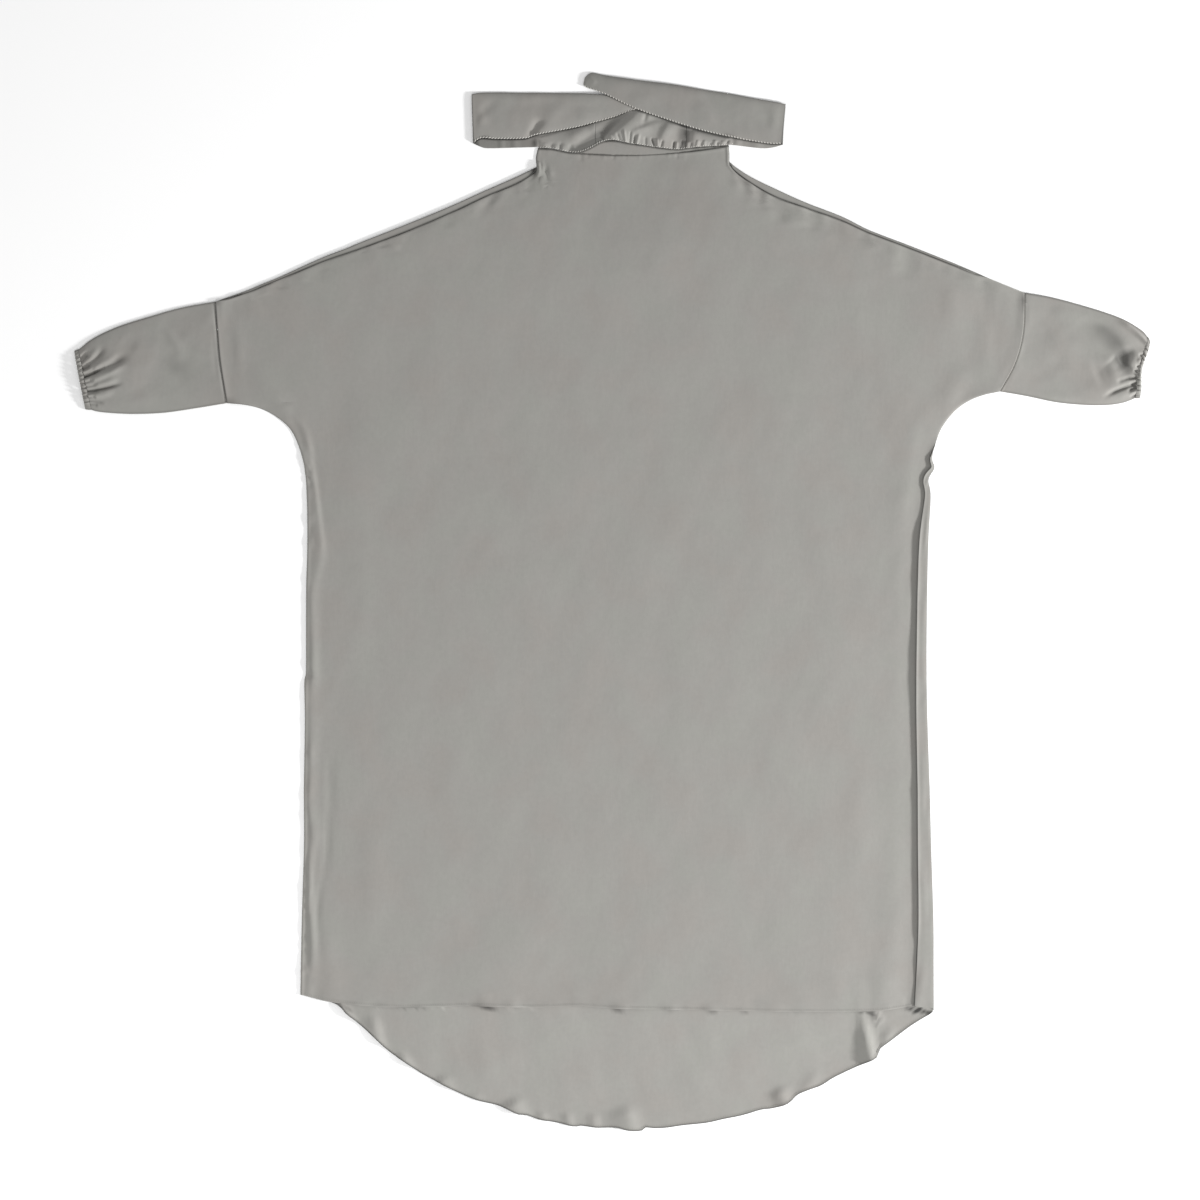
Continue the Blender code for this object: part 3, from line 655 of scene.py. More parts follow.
LEFT_EDGE_RIDGE = (
    (215, -430, 2, 3, 0),
    (190, -423.5, 2, 2.5, 0.8),
    (150, -420, 2, 2.5, 0.3),
    (118, -419.5, 2, 3, 0.6),
    (84, -419.5, 2, 2.5, 0.4),
    (50, -420, 2, 3, 0.6),
    (20, -421, 2, 2.5, 0.5),
    (-60, -421.5, 2, 2.5, 0.6),
    (-104, -422, 2, 3, 0.5),
    (-130, -423, 2, 2.5, 0.8),
    (-200, -423.5, 2, 2.5, 0.7),
    (-260, -424, 2, 2.5, 0.7),
    (-330, -424, 2, 2.5, 0.7),
    (-390, -426, 2, 2.5, 0.7),
    (-450, -427, 2, 2.5, 0.7),
    (-560, -428.5, 2, 2.5, 0.8),
)
LEFT_TROUGH = (
    (-215, -390, 4, 5, 0),
    (-233, -390, 3, 4, -0.9),
    (-279, -390, 3, 4, -1.2),
    (-302, -392, 3, 5, -0.6),
    (-324, -393, 3, 4, -1.2),
    (-355, -395, 3, 4, -1.2),
    (-384, -400, 3, 5, -0.5),
    (-405, -404, 3, 4, -0.9),
    (-433, -407, 3, 4, -0.9),
    (-467, -405, 4, 5, -0.5),
    (-500, -404, 4, 5, 0),
)
RIGHT_RIDGE = (
    (262, 420, 16, 10, 0),
    (225, 414, 20, 12, 0.9),
    (154, 404, 22, 14, 1.1),
    (112, 400, 20, 14, 0.9),
    (40, 394, 18, 14, 0.4),
    (-60, 390, 16, 14, 0.3),
    (-260, 390, 16, 14, 0.3),
    (-400, 388, 18, 14, 0.5),
    (-500, 384, 20, 14, 0.9),
    (-570, 378, 24, 16, 0.7),
)
# Beside the neck's corner, under the shoulders, down the left edge, in the hem and over the body,
# with columns as for the tail's creases
FRONT_CREASES = (
    (-101, 604, -99.5, 584, 1.8, 3, 4.0, 0, 0.7, 0),
    (-95, 601, -78, 586, 2, 2.5, 1.2, 0, 0.6, 0),
    (-93, 592, -74, 572, 2, 3, -1.0, 0, 0.4, 0),
    (-98, 588, -88, 564, 2, 2.5, 1.0, 0, 0.5, 0),
    (-107, 601, -110, 586, 3, 4, -2.4, 0, 0.6, 0.6),
    (-96, 614, -95, 570, 1.6, 2, 1.3, 0, 0, 0),
    (-91, 606, -88, 560, 2, 3, -0.9, 0, 0, 0),
    (-86, 610, -82, 556, 3, 4, 0.8, 0, 0, 0),
    (-118, 586, -114, 562, 5, 6, -1.2, 0, 0.6, 0),
    (-124, 580, -122, 556, 4, 5, 1.4, 0, 0.5, 0),
    (-150, 568, -172, 540, 6, 7, 1.0, 3, 0.5, 0),
    (-162, 564, -186, 534, 7, 8, -1.0, 3, 0.8, 0),
    (-180, 556, -200, 528, 6, 8, 1.0, 2, 0.6, 0),
    (170, 588, 172, 566, 3, 4, 1.0, 0, 0.8, 0),
    (182, 580, 186, 548, 5, 6, -1.2, 0, 0.8, 0),
    (192, 574, 195, 556, 3, 4, 1.2, 0, 0.8, 0),
    (205, 566, 208, 536, 5, 7, -1.2, 0, 0.7, 0),
    (212, 562, 214, 542, 3, 4, 1.3, 0, 0.8, 0),
    (226, 554, 238, 520, 10, 9, -1.4, 0, 0.8, 0),
    (243, 546, 252, 512, 6, 8, 1.0, 0, 0.6, 0),
    (358, 504, 361, 480, 4, 5, 1.4, 0, 0.8, 0),
    (384, 492, 388, 446, 8, 8, 1.1, 0, 0.4, 0),
    (405, 482, 412, 440, 8, 8, -0.9, 0, 0.5, 0),
    (468, 446, 472, 376, 8, 9, 1.4, 0, 0.3, 0),
    (512, 440, 514, 385, 9, 8, -1.1, 0, 0.5, 0),
    (-421, 222, -412, 205, 1.8, 1.8, 1.2, 0, 0, 0),
    (-424, 206, -413, 197, 1.6, 1.6, -1.0, 0, 0, 0),
    (-423, 191, -415, 180, 1.6, 1.8, 1.0, 0, 0, 0),
    (-424, 176, -416, 168, 1.5, 1.5, -0.9, 0, 0, 0),
    (-420, -365, -412, -385, 2, 2, 1.0, 0, 0, 0),
    (-413, -386, -420, -410, 1.5, 1.5, 1.0, 0, 0, 0),
    (-423, -396, -411, -401, 2, 2, 0.9, 0, 0, 0),
    (-416, -370, -424, -380, 1.5, 1.5, -0.8, 0, 0, 0),
    (-424, -412, -415, -426, 1.8, 1.8, 0.8, 0, 0, 0),
    (-60, -568, 80, -568, 24, 24, 1.2, 0, 0, 0),
    (-366, -563, -340, -556, 8, 4, 1.8, 0, 0.6, 0.3),
    (-330, -564, -300, -564, 10, 4, 1.8, 0, 0.3, 0.3),
    (-270, -564, -258, -564, 6, 4, 2.6, 0, 0.5, 0.5),
    (-186, -561, -150, -564, 9, 4, 4.0, 0, 0.5, 0.5),
    (-146, -558, -128, -562, 10, 4, 2.2, 0, 0.3, 0.3),
    (-110, -566, -96, -564, 6, 3, 1.6, 0, 0.5, 0.5),
    (2, -562, 22, -563, 8, 4, 3.0, 0, 0.4, 0.6),
    (30, -564, 42, -565, 4, 3, 1.8, 0, 0.5, 0.5),
    (76, -565, 88, -565, 6, 4, 3.0, 0, 0.5, 0.5),
    (128, -565, 142, -565, 8, 4, 2.0, 0, 0.5, 0.5),
    (176, -566, 186, -566, 5, 3, 1.4, 0, 0.4, 0.4),
    (300, -505, 322, -568, 14, 18, 1.0, 4, 0, 0.8),
    (338, -510, 345, -568, 9, 12, 1.2, 0, 0, 1),
    (374, -500, 366, -568, 14, 14, 1.2, 0, 0, 0.8),
    (256, -520, 270, -568, 14, 16, 0.6, 0, 0, 0.6),
    (-60, -520, -40, -568, 14, 16, 0.8, 0, 0, 0.6),
    (-400, -430, -385, -560, 12, 14, 1.0, 4, 0, 0.8),
    (-520, 392, -515, 300, 8, 6, 0.8, 3, 0, 0),
    (-505, 330, -460, 268, 12, 16, 1.0, 6, 0, 0.5),
    (-470, 300, -446, 252, 6, 8, 1.2, 4, 0, 0.6),
    (520, 400, 515, 310, 9, 9, 1.0, -3, 0, 0),
    (500, 330, 462, 268, 12, 14, 1.2, -6, 0, 0.5),
    (330, 470, 345, 220, 16, 18, 0.7, 6, 0, 0),
    (372, 450, 380, 250, 12, 12, 0.6, -5, 0, 0),
    (-330, 420, -350, 180, 22, 20, 0.7, -8, 0, 0),
    (-340, 150, -355, -80, 18, 22, 0.6, 6, 0, 0),
    (-320, -260, -330, -470, 20, 16, 0.8, -6, 0, 0),
    (300, 120, 318, -120, 22, 18, 0.6, -8, 0, 0),
    (340, -200, 330, -420, 18, 20, 0.7, 6, 0, 0),
)
# Painted shade in the hollow at the neck's left corner and at the top of the right armhole. Where a
# facing backs the neck the front is darker, partly for the facing's extra layer and partly as painted
# shade from the band
FRONT_HOLLOWS = (NECK_CORNER, (568, 415, 3, 12, 0.6), (10, 555, 180, 70, 0.07))


def read_off(at, way, path):
    """Points of a path at the given ways along it, in straight lines between its own points."""
    return np.stack([np.interp(at, way, column) for column in path.T], axis=-1)


def puckers(seam, direction, spacing, long, half, high, seed):
    """Short creases from a seam, for creases(): each one's place, lean, length, width and depth
    come from a seeded list between the pairs of limits, so that no two are alike."""
    draw = np.random.default_rng(seed)
    points = all_through(seam, 12)
    way = way_along(points)
    rows, at = [], spacing[0] * draw.random()
    while at < way[-1]:
        x0, y0 = read_off(at, way, points)
        length, wide, rise = (low + (top - low) * draw.random() ** 2 for low, top in (long, half, high))
        turn = np.radians(direction + 24 * (draw.random() - 0.5))
        sign = 1 if draw.random() < 0.5 else -1
        end = (x0 + length * np.cos(turn), y0 + length * np.sin(turn))
        rows.append((x0, y0, *end, wide, wide * 1.2, sign * rise, 2 * draw.random() - 1, 1, 0))
        at += spacing[0] + (spacing[1] - spacing[0]) * draw.random()
    return rows


def distance(x, y, line):
    """How far plan points are from the nearest point of a line of short straight pieces."""
    nearest = np.full(x.shape, np.inf)
    for (x0, y0), (x1, y1) in zip(line[:-1], line[1:]):
        dx, dy = x1 - x0, y1 - y0
        along = np.clip(((x - x0) * dx + (y - y0) * dy) / (dx * dx + dy * dy), 0, 1)
        nearest = np.minimum(nearest, np.hypot(x - x0 - along * dx, y - y0 - along * dy))
    return nearest


front_left, front_right, skirt_share = body_edges(FRONT_ROWS)
front_ends = []
for place, inward, wrap in (front_left, front_right):
    turned = np.clip(wrap / FULL_WRAP, 0, 1)
    inset = SEAM_GAP + np.maximum(wrap, FULL_WRAP * np.minimum(1, 2 * turned))
    front_ends.append(place + inward * inset[:, None])
hem_share = skirt_share**FRONT_HEM_POWER
plan = panel_plan(*front_ends, FRONT_NEAR, FRONT_COLUMNS, NECKLINE, FRONT_HEM, hem_share)
x, y = plan[..., 0], plan[..., 1]
left_away, right_away = (distance(x, y, end) for end in front_ends)
seam_away = np.minimum(left_away, right_away)
neck_away = np.maximum(curve_y(NECKLINE, x) - y, 0)
away = hem_away(x, y, FRONT_HEM)
in_hem = ease((TAIL_TOP - y) / TAIL_FADE)
below_arm = ease((SIDE_TOP - y) / SIDE_FADE)
on_shoulder = ease((y - SHOULDER_HEIGHT) / 20)
at_armhole = ease((y - ARM_HEIGHT) / 8) * ease(np.abs(x) / 40 - 12)
left_seam = [(row[0], row[1] - 8) for row in SHOULDERS[1:]]
right_seam = [(row[3], row[4] - 8) for row in SHOULDERS[1:]]
left_side = front_ends[0][130::12]
lift = sum(long_fold(x, y, rows) for rows in (LEFT_RIDGE, LEFT_EDGE_RIDGE, LEFT_TROUGH, RIGHT_RIDGE))
lift += creases(x, y, FRONT_CREASES)
# Columns: where they are felt, seam, direction in degrees, limits of their spacing, length, half
# width and height, seed
for felt, *pucker in (
    (1, left_seam, -88, (9, 24), (10, 44), (4, 8), (0.3, 1.3), 21),
    (1, right_seam, -92, (8, 22), (10, 50), (4, 8), (0.3, 1.3), 22),
    (1, NECKLINE, -90, (7, 22), (6, 16), (1.6, 3), (0.2, 0.6), 23),
    (1, FRONT_HEM, 90, (14, 40), (8, 30), (4, 9), (0.2, 0.9), 24),
    (below_arm, left_side, 30, (14, 36), (8, 22), (3, 5), (0.3, 1.2), 25),
):
    lift += felt * creases(x, y, puckers(*pucker))
lift += BODY_RISE * ease(seam_away / 30) * ease(neck_away / 30)
lift += ease(seam_away / 12) * rumple(x, y, 12, 46, 26, 240, 0.004)
# The front's edges bend down to their seams, and the armholes' seams stand up as low ridges,
# sharper on the left. On the right side the front climbs to the strip's seam
lift += at_armhole * ARMHOLE_CREST * np.exp(-seam_away / np.where(x < 0, 12, 20))
lift += at_armhole * 0.4 * bell(seam_away / 3) * (x < 0)
lift -= (EDGE_DIP - 0.7 * at_armhole) * np.exp(-left_away / 1.1)
lift -= (1 - at_armhole) * (1 - below_arm) * np.exp(-right_away / 1.1)
lift += SHOULDER_RIDGE * on_shoulder * ease((x - 150) / 10) * bell((right_away - 2.2) / 1.6)
end_y, end_wrap = front_right[0][:, 1], front_right[2]
climb = 2 * strip_radius(end_wrap) + BACK_LEVEL - FRONT_LEVEL + down_curve(RIGHT_LIP, end_y)[0]
climb *= ease((CLIMB_TOP - end_y) / CLIMB_FADE)
lift += climb[:, None] * np.exp(-right_away / 0.9)
# The neck's edge is turned in, so that it stands up beside its seam, most of all on the right
lift += (0.15 + 0.35 * ease((x - 70) / 20)) * bell((neck_away - 1.8) / 1.4)
lift -= NECK_DIP * np.exp(-neck_away / 0.8)
lift += hem_fold(away) * in_hem
# Darker along the seams as a dark seam line, deepened by painted crevice shade at the shoulders and the
# left armhole, and lightened at the right armhole by painted light. Painted shade where the neckline
# stands off the band, painted shadow beside the right strip below the arm, and painted light down the
# left edge
on_seam = 0.12 + 0.4 * on_shoulder + at_armhole * np.where(x < 0, 0.3, -0.5)
neckline_shade = 0.2 + 0.6 * bell((x - 112) / 24)
layers_and_shade = TWO_LAYERS + on_seam * bell(seam_away) + neckline_shade * bell(neck_away / 1.3)
layers_and_shade += below_arm * (0.3 * (x > 0) * np.exp(-right_away / 4) - 0.09 * np.exp(-left_away / 14))
layers_and_shade += hollows(x, y, FRONT_HOLLOWS)
# The front's hem is darker for its layers; its very edge is paler, a painted highlight, and shade is
# painted into the gaps under it
layers_and_shade += in_hem * (0.06 * ease(HEM_WIDE - away) - 0.1 * bell(away / 1.2)) + creases(x, y, HEM_GAPS)
middle = np.dstack((plan, FRONT_LEVEL + np.maximum(lift, -0.75)))
front_cloth = cloth_piece("front_cloth", middle, layers_and_shade, WALL, False, body_crepe)
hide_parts("front_panel")

# Hem stitches
# Both hems are folded under by four millimetres and held by one row of plain machine stitches
# in matching thread.
HEM_STITCH = (3.2, 2.6, 0.55)  # from one to the next, length, thickness
STITCH_IN = 3.2  # how far the row of stitches is from the hem's edge
SPINDLE_SIDES = 6


def stitches(name, path, pitch, long, thick, slant, material):
    """A row of stitches along a path, each a thin six-sided spindle with a point at both ends.

    A spindle's points are turned into the directions along, across and up from its own place on
    the path. Slant is the angle in degrees from the path to the stitch, seen from above."""
    way = way_along(path)
    at = np.arange(pitch / 2, way[-1], pitch)
    centre, before, after = (read_off(at + step, way, path) for step in (0, -1, 1))
    ahead = after - before
    ahead /= np.linalg.norm(ahead, axis=1, keepdims=True)
    aside = np.cross((0, 0, 1), ahead)
    aside /= np.linalg.norm(aside, axis=1, keepdims=True)
    turn = np.radians(slant)
    along = np.cos(turn) * ahead + np.sin(turn) * aside
    across = np.cos(turn) * aside - np.sin(turn) * ahead
    up = np.cross(along, across)
    corner = np.arange(SPINDLE_SIDES)
    angle = 2 * np.pi * corner / SPINDLE_SIDES
    ring = np.stack((0 * angle, np.cos(angle) * thick / 2, np.sin(angle) * thick / 2), axis=1)
    ends = np.array(((-long / 2, 0, 0), (long / 2, 0, 0)))
    spindle = np.vstack((ends[:1], ring - (0.3 * long, 0, 0), ring + (0.3 * long, 0, 0), ends[1:]))
    axes = np.stack((along, across, up), axis=1)
    points = (centre[:, None, :] + np.einsum("pk,nkc->npc", spindle, axes)).reshape(-1, 3)
    one, two, last = corner + 1, (corner + 1) % SPINDLE_SIDES + 1, len(spindle) - 1
    faces = np.vstack((
        np.stack((0 * one, two, one), axis=1),
        np.stack((one, two, two + SPINDLE_SIDES), axis=1),
        np.stack((one, two + SPINDLE_SIDES, one + SPINDLE_SIDES), axis=1),
        np.stack((one + SPINDLE_SIDES, two + SPINDLE_SIDES, 0 * one + last), axis=1),
    ))
    faces = (faces[None] + len(spindle) * np.arange(len(at))[:, None, None]).reshape(-1, 3)
    laid_mesh(name, points, faces, np.full(len(points), TWO_LAYERS), material)


def inside_hem(rows, hem, start, end):
    """A path on top of the cloth just inside its hem. Each column is read off in a straight line
    between its two rows on either side of the stitches."""
    away = hem_away(rows[..., 0], rows[..., 1], hem)
    after, columns = (away < STITCH_IN).argmax(axis=0), np.arange(rows.shape[1])
    far, near = away[after - 1, columns], away[after, columns]
    share = ((far - STITCH_IN) / (far - near))[:, None]
    line = (1 - share) * rows[after - 1, columns] + share * rows[after, columns]
    return read_off(np.arange(start, end, 4.0), line[:, 0], line) + (0, 0, WALL / 2)


# The hem thread matches the cloth, but is made a little paler as a painted shine
thread_painted_shine = crepe("thread_painted_shine", 1.2 * CREPE_GREY, (5, 7, 0))
for name, rows, hem, start, end in (
    ("front_hem_thread", middle[-24:], FRONT_HEM, -424, 408),
    ("back_hem_thread", tail_rows, BACK_HEM, -376, 436),
):
    stitches(name, inside_hem(rows, hem, start, end), *HEM_STITCH, 0, thread_painted_shine)

# Lower sleeves
# Each is one cut of the crepe, sewn into a short tube and set flat into the dropped armhole. It
# narrows towards the wrist, where it is gathered into its casing: a few deep folds run up from
# there, with many small ones between them.
SLEEVE_TOP = 130  # points of a ring on top
SLEEVE_UNDER = 26  # on the underside
SLEEVE_ROUND = 7  # round each edge
CREASE_SPREAD = 1.7  # its creases are this many times as wide at their ends
SLEEVE_ROWS = 110
SLEEVE_ROLL = 0.9
SEAM_CREST = 1.2  # how far it rises to the armhole seam
# The right seam's painted lightening leaves out its top points, which stay dark
SEAM_DARK = 16  # points at the top of the right seam that stay dark
PUFF_POWER = 0.6  # of the sine across a puff: under 1 is flatter in the middle
# Columns: upper_x, upper_y, lower_x, lower_y, puff on top, bow of the ring towards the body
SLEEVE_LEFT = (
    (-547.3, 413.8, -531.3, 273.6, 0.2, 0),
    (-595, 405, -575, 266.5, 0.8, 0),
    (-638, 393, -617, 260.5, 1.8, 0),
    (-676, 381.2, -656, 258.7, 3.4, 0),
    (-702, 370.3, -683, 259.5, 4.8, 0),
    (-720, 360.3, -702, 261, 5.0, 0),
    (-729.5, 352.7, -712, 262.5, 4.2, 0),
    (-735.5, 347.8, -717.8, 264.5, 3.6, 0),
)
SLEEVE_RIGHT = (
    (569.3, 426, 535.3, 289.7, 0.2, 0),
    (606, 419.5, 571, 283.5, 0.8, 0),
    (648, 408.5, 614, 274.7, 1.8, 0),
    (684, 397.5, 654, 271, 3.4, 0),
    (706, 389, 683, 271, 4.8, 0),
    (724, 378.7, 703, 273.7, 4.6, 1.3),
    (733, 372, 714, 277.3, 3.8, 2.6),
    (738, 366, 721, 280.3, 3.2, 3.6),
)
# Most of these start at the cuff. Columns as for the tail's creases
SLEEVE_LEFT_CREASES = (
    (-733, 307, -700, 322, 2, 1.6, -5, -1, 1, 0.3),
    (-712, 317, -664, 342, 4.5, 4.5, -4, -2, 0.3, 0),
    (-731, 315, -676, 342, 4, 5, 2.4, -3, 1, 0),
    (-730, 300, -666, 331, 5, 3, 2.6, -3, 1, 0),
    (-724, 290, -672, 303, 2.6, 2, -3.8, -2, 1, 0),
    (-722, 295, -676, 310, 4, 4, 2.0, -2, 1, 0),
    (-722, 283, -684, 291, 4, 3, 1.8, -2, 1, 0),
    (-731, 321, -697, 354, 3, 3, -2.2, -4, 1, 0),
    (-733, 327, -706, 354, 3, 3, 1.0, -3, 1, 0),
    (-735, 332, -720, 344, 2, 2, -1.6, 1, 1, 0),
    (-736, 337, -722, 350, 2, 2, 1.0, 1, 1, 0),
    (-732, 328, -718, 342, 1.8, 1.8, -2.2, 1, 1, 0),
    (-731, 318, -716, 327, 1.8, 1.8, -2.2, -1, 1, 0),
    (-729, 313, -710, 324, 1.8, 1.8, -2.0, -1, 1, 0),
    (-727, 301, -712, 306, 1.8, 1.8, -2.4, 0, 1, 0),
    (-726, 296, -707, 300, 1.8, 1.8, -2.0, -1, 1, 0),
    (-723, 286, -704, 291, 1.8, 1.8, -1.5, 0, 1, 0),
    (-722, 281, -710, 281, 1.6, 1.6, -1.8, 1, 1, 0),
    (-720, 277, -699, 272, 1.8, 2, -1.3, 1, 1, 0),
    (-719, 272, -708, 269, 1.6, 1.8, -1.4, 1, 1, 0),
    (-622, 380, -590, 332, 5, 5, 1.2, 4, 0, 0),
    (-628, 356, -586, 300, 10, 12, -1.2, 4, 0, 0),
    (-700, 330, -640, 300, 18, 16, 1.2, 0, 0, 0),
    (-549, 372, -543, 308, 7, 3, -1.2, 0, 0.3, 0.3),
    (-690, 276, -600, 270, 9, 7, 1.0, 3, 0, 0),
    (-680, 360, -655, 345, 9, 9, -0.8, 3, 0, 0),
)
SLEEVE_RIGHT_CREASES = (
    (739, 355, 694, 392.5, 3.5, 3, 5.0, -2, 1, 0),
    (739, 355.5, 696, 392.5, 1.6, 1.6, 1.6, -2, 1, 0.3),
    (742, 362, 712, 386, 2.6, 2.2, -2.8, -2, 1, 0),
    (706, 334, 642, 391, 15, 8, -2.6, -11, 1, 0),
    (720, 312, 698, 338, 12, 4, -2.8, 0, 0.3, 0.8),
    (720, 350, 702, 333, 5, 6, -2.4, 0, 0.1, 1),
    (736, 343, 716, 327, 6, 7, 2.2, 0, 0.7, 0.3),
    (697, 318, 690, 344, 8, 6, 0.8, -3, 0.5, 0),
    (692, 322, 662, 310, 11, 11, -1.6, 0, 0, 0),
    (727, 300, 674, 279, 2.2, 2.2, -3.0, -3, 1, 0),
    (728, 307, 668, 285, 5, 5, 0.5, -4, 1, 0),
    (728, 292, 690, 275, 3.5, 3, 0.8, -2, 1, 0),
    (731, 309, 704, 307, 1.8, 1.8, -2.8, 0, 1, 0),
    (712, 308, 694, 302, 2.2, 2.2, -1.6, 0, 0.4, 0),
    (730, 303, 712, 299, 1.8, 1.8, -2.6, 0, 1, 0),
    (729, 297, 709, 290, 1.8, 1.8, -2.8, 0, 1, 0),
    (728, 291, 711, 285, 1.8, 1.8, 1.8, 0, 1, 0),
    (726, 286, 713, 281, 1.8, 1.8, -2.4, 0, 1, 0),
    (732, 316, 717, 318, 1.8, 1.8, -2.2, 0, 1, 0),
    (733, 323, 720, 325, 1.8, 1.8, -2.0, 0, 1, 0),
    (735, 332, 722, 332, 1.8, 1.8, 1.6, 0, 1, 0),
    (737, 340, 724, 339, 1.8, 1.8, -2.0, 0, 1, 0),
    (655, 392, 600, 400, 8, 6, 1.0, -4, 0, 0),
    (650, 330, 590, 360, 20, 18, 1.2, -8, 0, 0),
    (650, 279, 585, 288, 6, 5, 1.0, 3, 0, 0),
)


def armhole_bow(armhole, share):
    """How far a curved armhole stands off the straight line between its ends."""
    points = all_through(armhole, 6)
    chord = points[-1] - points[0]
    length = np.linalg.norm(chord)
    along = (points - points[0]) @ chord / length**2
    off = (chord[0] * (points - points[0])[:, 1] - chord[1] * (points - points[0])[:, 0]) / length
    return np.interp(share, along, off)


def flat_tube(table, rows, top_points, relief, armhole=None, tuck=0):
    """Rings of a flattened tube from the armhole outwards, rounded at both of its edges.

    A ring runs along the top from the upper edge to the lower, round a half circle, back along the
    underside and round the other half circle. The top swells as a power of a sine across the ring, and
    carries the relief. A ring's bow is its largest sideways shift, and the first rings take the
    armhole's own bow, which fades as a square. Tuck takes the top's first points in under the body. The
    cloth is darker along both edges, where it turns, as a Gaussian curve, and painted shade darkens the
    relief's low places, as an ease of their depth."""
    ring = evenly_through(table, rows)
    upper, lower, puff, ring_bow = ring[:, :2], ring[:, 2:4], ring[:, 4:5], ring[:, 5:6]
    across = lower - upper
    width = np.linalg.norm(across, axis=1)[:, None]
    across /= width
    top_share = 0.5 - 0.5 * np.cos(np.pi * np.linspace(0, 1, top_points))
    top_share = 0.35 * top_share + 0.65 * np.linspace(0, 1, top_points)
    turn = np.linspace(0, np.pi, SLEEVE_ROUND + 2)[1:-1]
    under_share = np.linspace(1, 0, SLEEVE_UNDER)
    share = np.concatenate((top_share, 1 + 0 * turn, under_share, 0 * turn))
    out = np.concatenate((0 * top_share, np.sin(turn), 0 * under_share, -np.sin(turn)))
    side = np.concatenate((1 + 0 * top_share, np.cos(turn), -1 + 0 * under_share, -np.cos(turn)))
    start = SLEEVE_ROLL + WALL / 2
    run = start + share * (width - 2 * start) + SLEEVE_ROLL * out
    plan = upper[:, None, :] + run[..., None] * across[:, None, :]
    outward = np.sign(table[0][0])
    on_top = np.arange(len(share)) < top_points
    if armhole is not None:
        fade = np.linspace(1, 0, rows)[:, None] ** 2
        square = np.stack((-across[:, 1], across[:, 0]), axis=1)[:, None, :]
        plan += (armhole_bow(armhole, run / width) * fade)[..., None] * square
        plan[0, on_top, 0] -= outward * tuck
    plan[..., 0] -= outward * ring_bow * np.sin(np.pi * np.clip(run / width, 0, 1)) ** 2.5
    swell = np.sin(np.pi * np.clip(share, 0.0001, 0.9999)) ** PUFF_POWER
    rise = np.minimum(1, 1.6 * swell) * relief(plan[..., 0], plan[..., 1], share)
    level = BACK_LEVEL + SLEEVE_ROLL * (1 + side)
    level = level + np.where(on_top, np.maximum(puff * swell + rise, -1.1), 0)
    at_edge = bell(np.minimum(share, 1 - share) * width / 1.3)
    return np.dstack((plan, level)), TWO_LAYERS + 0.3 * at_edge + on_top * 0.6 * ease(-rise / 4)


sleeve_crepe = crepe("crepe_sleeve", CREPE_GREY, (3, 1, 0))
# The last columns: how deep the groove at the seam is and how far it reaches, how far the top is tucked
# in, how much painted light lightens the seam's shade below its top, seed
for side, table, rows, columns, groove, reach, tuck, pale, seed in (
    ("left", SLEEVE_LEFT, SLEEVE_LEFT_CREASES, (0, 1), 1.0, 1.2, 1.2, 0, 31),
    ("right", SLEEVE_RIGHT, SLEEVE_RIGHT_CREASES, (3, 4), -0.1, 0.4, 0.8, 0.5, 32),
):
    armhole = [tuple(row[column] for column in columns) for row in ARMHOLES]

    def sleeve_relief(x, y, share, rows=rows, armhole=armhole, groove=groove, reach=reach, seed=seed):
        """The sleeve's creases and rumples, and its exponential rise to the armhole, less a groove
        of the same kind right at the seam."""
        points = all_through(armhole, 6)[::-1]
        away = np.maximum(np.sign(x) * (x - np.interp(y, points[:, 1], points[:, 0])), 0)
        rise = SEAM_CREST * np.exp(-away / 14) - (SEAM_CREST + groove) * np.exp(-away / reach)
        uneven = creases(x, y, rows, CREASE_SPREAD) + rumple(x, y, seed, 26, 18, 120, 0.007)
        return ease(away / 8) * uneven + rise

    grid, layers_and_shade = flat_tube(table, SLEEVE_ROWS, SLEEVE_TOP, sleeve_relief, armhole, tuck)
    layers_and_shade[:2, SEAM_DARK:SLEEVE_TOP] -= pale
    sleeve = cloth_piece(f"sleeve_{side}_cloth", grid, layers_and_shade, WALL, True, sleeve_crepe)
    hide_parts(f"sleeve_{side}")

# Cuffs
# Narrow casings of the crepe, turned back over flat elastic and stitched down. The elastic draws
# them into close small pleats that run across the casing, no two of them alike.
# Columns as for the sleeves
CUFF_LEFT = (
    (-735.8, 348, -718.1, 264.5, 3.6, 0),
    (-738.8, 347, -722, 264.5, 4.6, 0),
    (-741.7, 345.5, -726.3, 265, 3.0, 0),
)
CUFF_RIGHT = (
    (738.3, 365.8, 721.4, 280.3, 3.2, 3.6),
    (740.6, 363, 725, 280.2, 4.2, 4.2),
    (742.2, 358.5, 728, 280.7, 2.8, 4.8),
)
CUFF_ROWS = 18
CUFF_TOP = 240
GATHERED = 0.1  # how much denser the gathered casings look
gathered_crepe = crepe("crepe_gathered", CREPE_GREY, (6, 2, 0))
for side, table, seed, count, deep in (
    ("left", CUFF_LEFT, 41, 26, 1.3),
    ("right", CUFF_RIGHT, 42, 24, 1.8),
):
    # Each pleat's place, half width and lean are shares of the way across, and its height is in mm
    draw = np.random.default_rng(seed)
    at = np.sort((np.arange(count) + 0.3 + 0.6 * draw.random(count)) / count)
    wide = 0.009 + 0.008 * draw.random(count)
    high = deep * (0.35 + 0.65 * draw.random(count)) * np.where(np.arange(count) % 2, 1, -1)
    lean = 0.03 * (draw.random(count) - 0.5)

    def pleats(x, y, share, at=at, wide=wide, high=high, lean=lean):
        """Small pleats across the casing: a Gaussian ridge or groove for each, leaning a little."""
        along = np.linspace(-1, 1, x.shape[0])[:, None, None]
        return (high * bell((share[None, :, None] - at - lean * along) / wide)).sum(axis=2)

    grid, layers_and_shade = flat_tube(table, CUFF_ROWS, CUFF_TOP, pleats)
    cuff = cloth_piece(f"cuff_{side}_casing", grid, layers_and_shade + GATHERED, WALL, True, gathered_crepe)
    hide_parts(f"cuff_{side}")

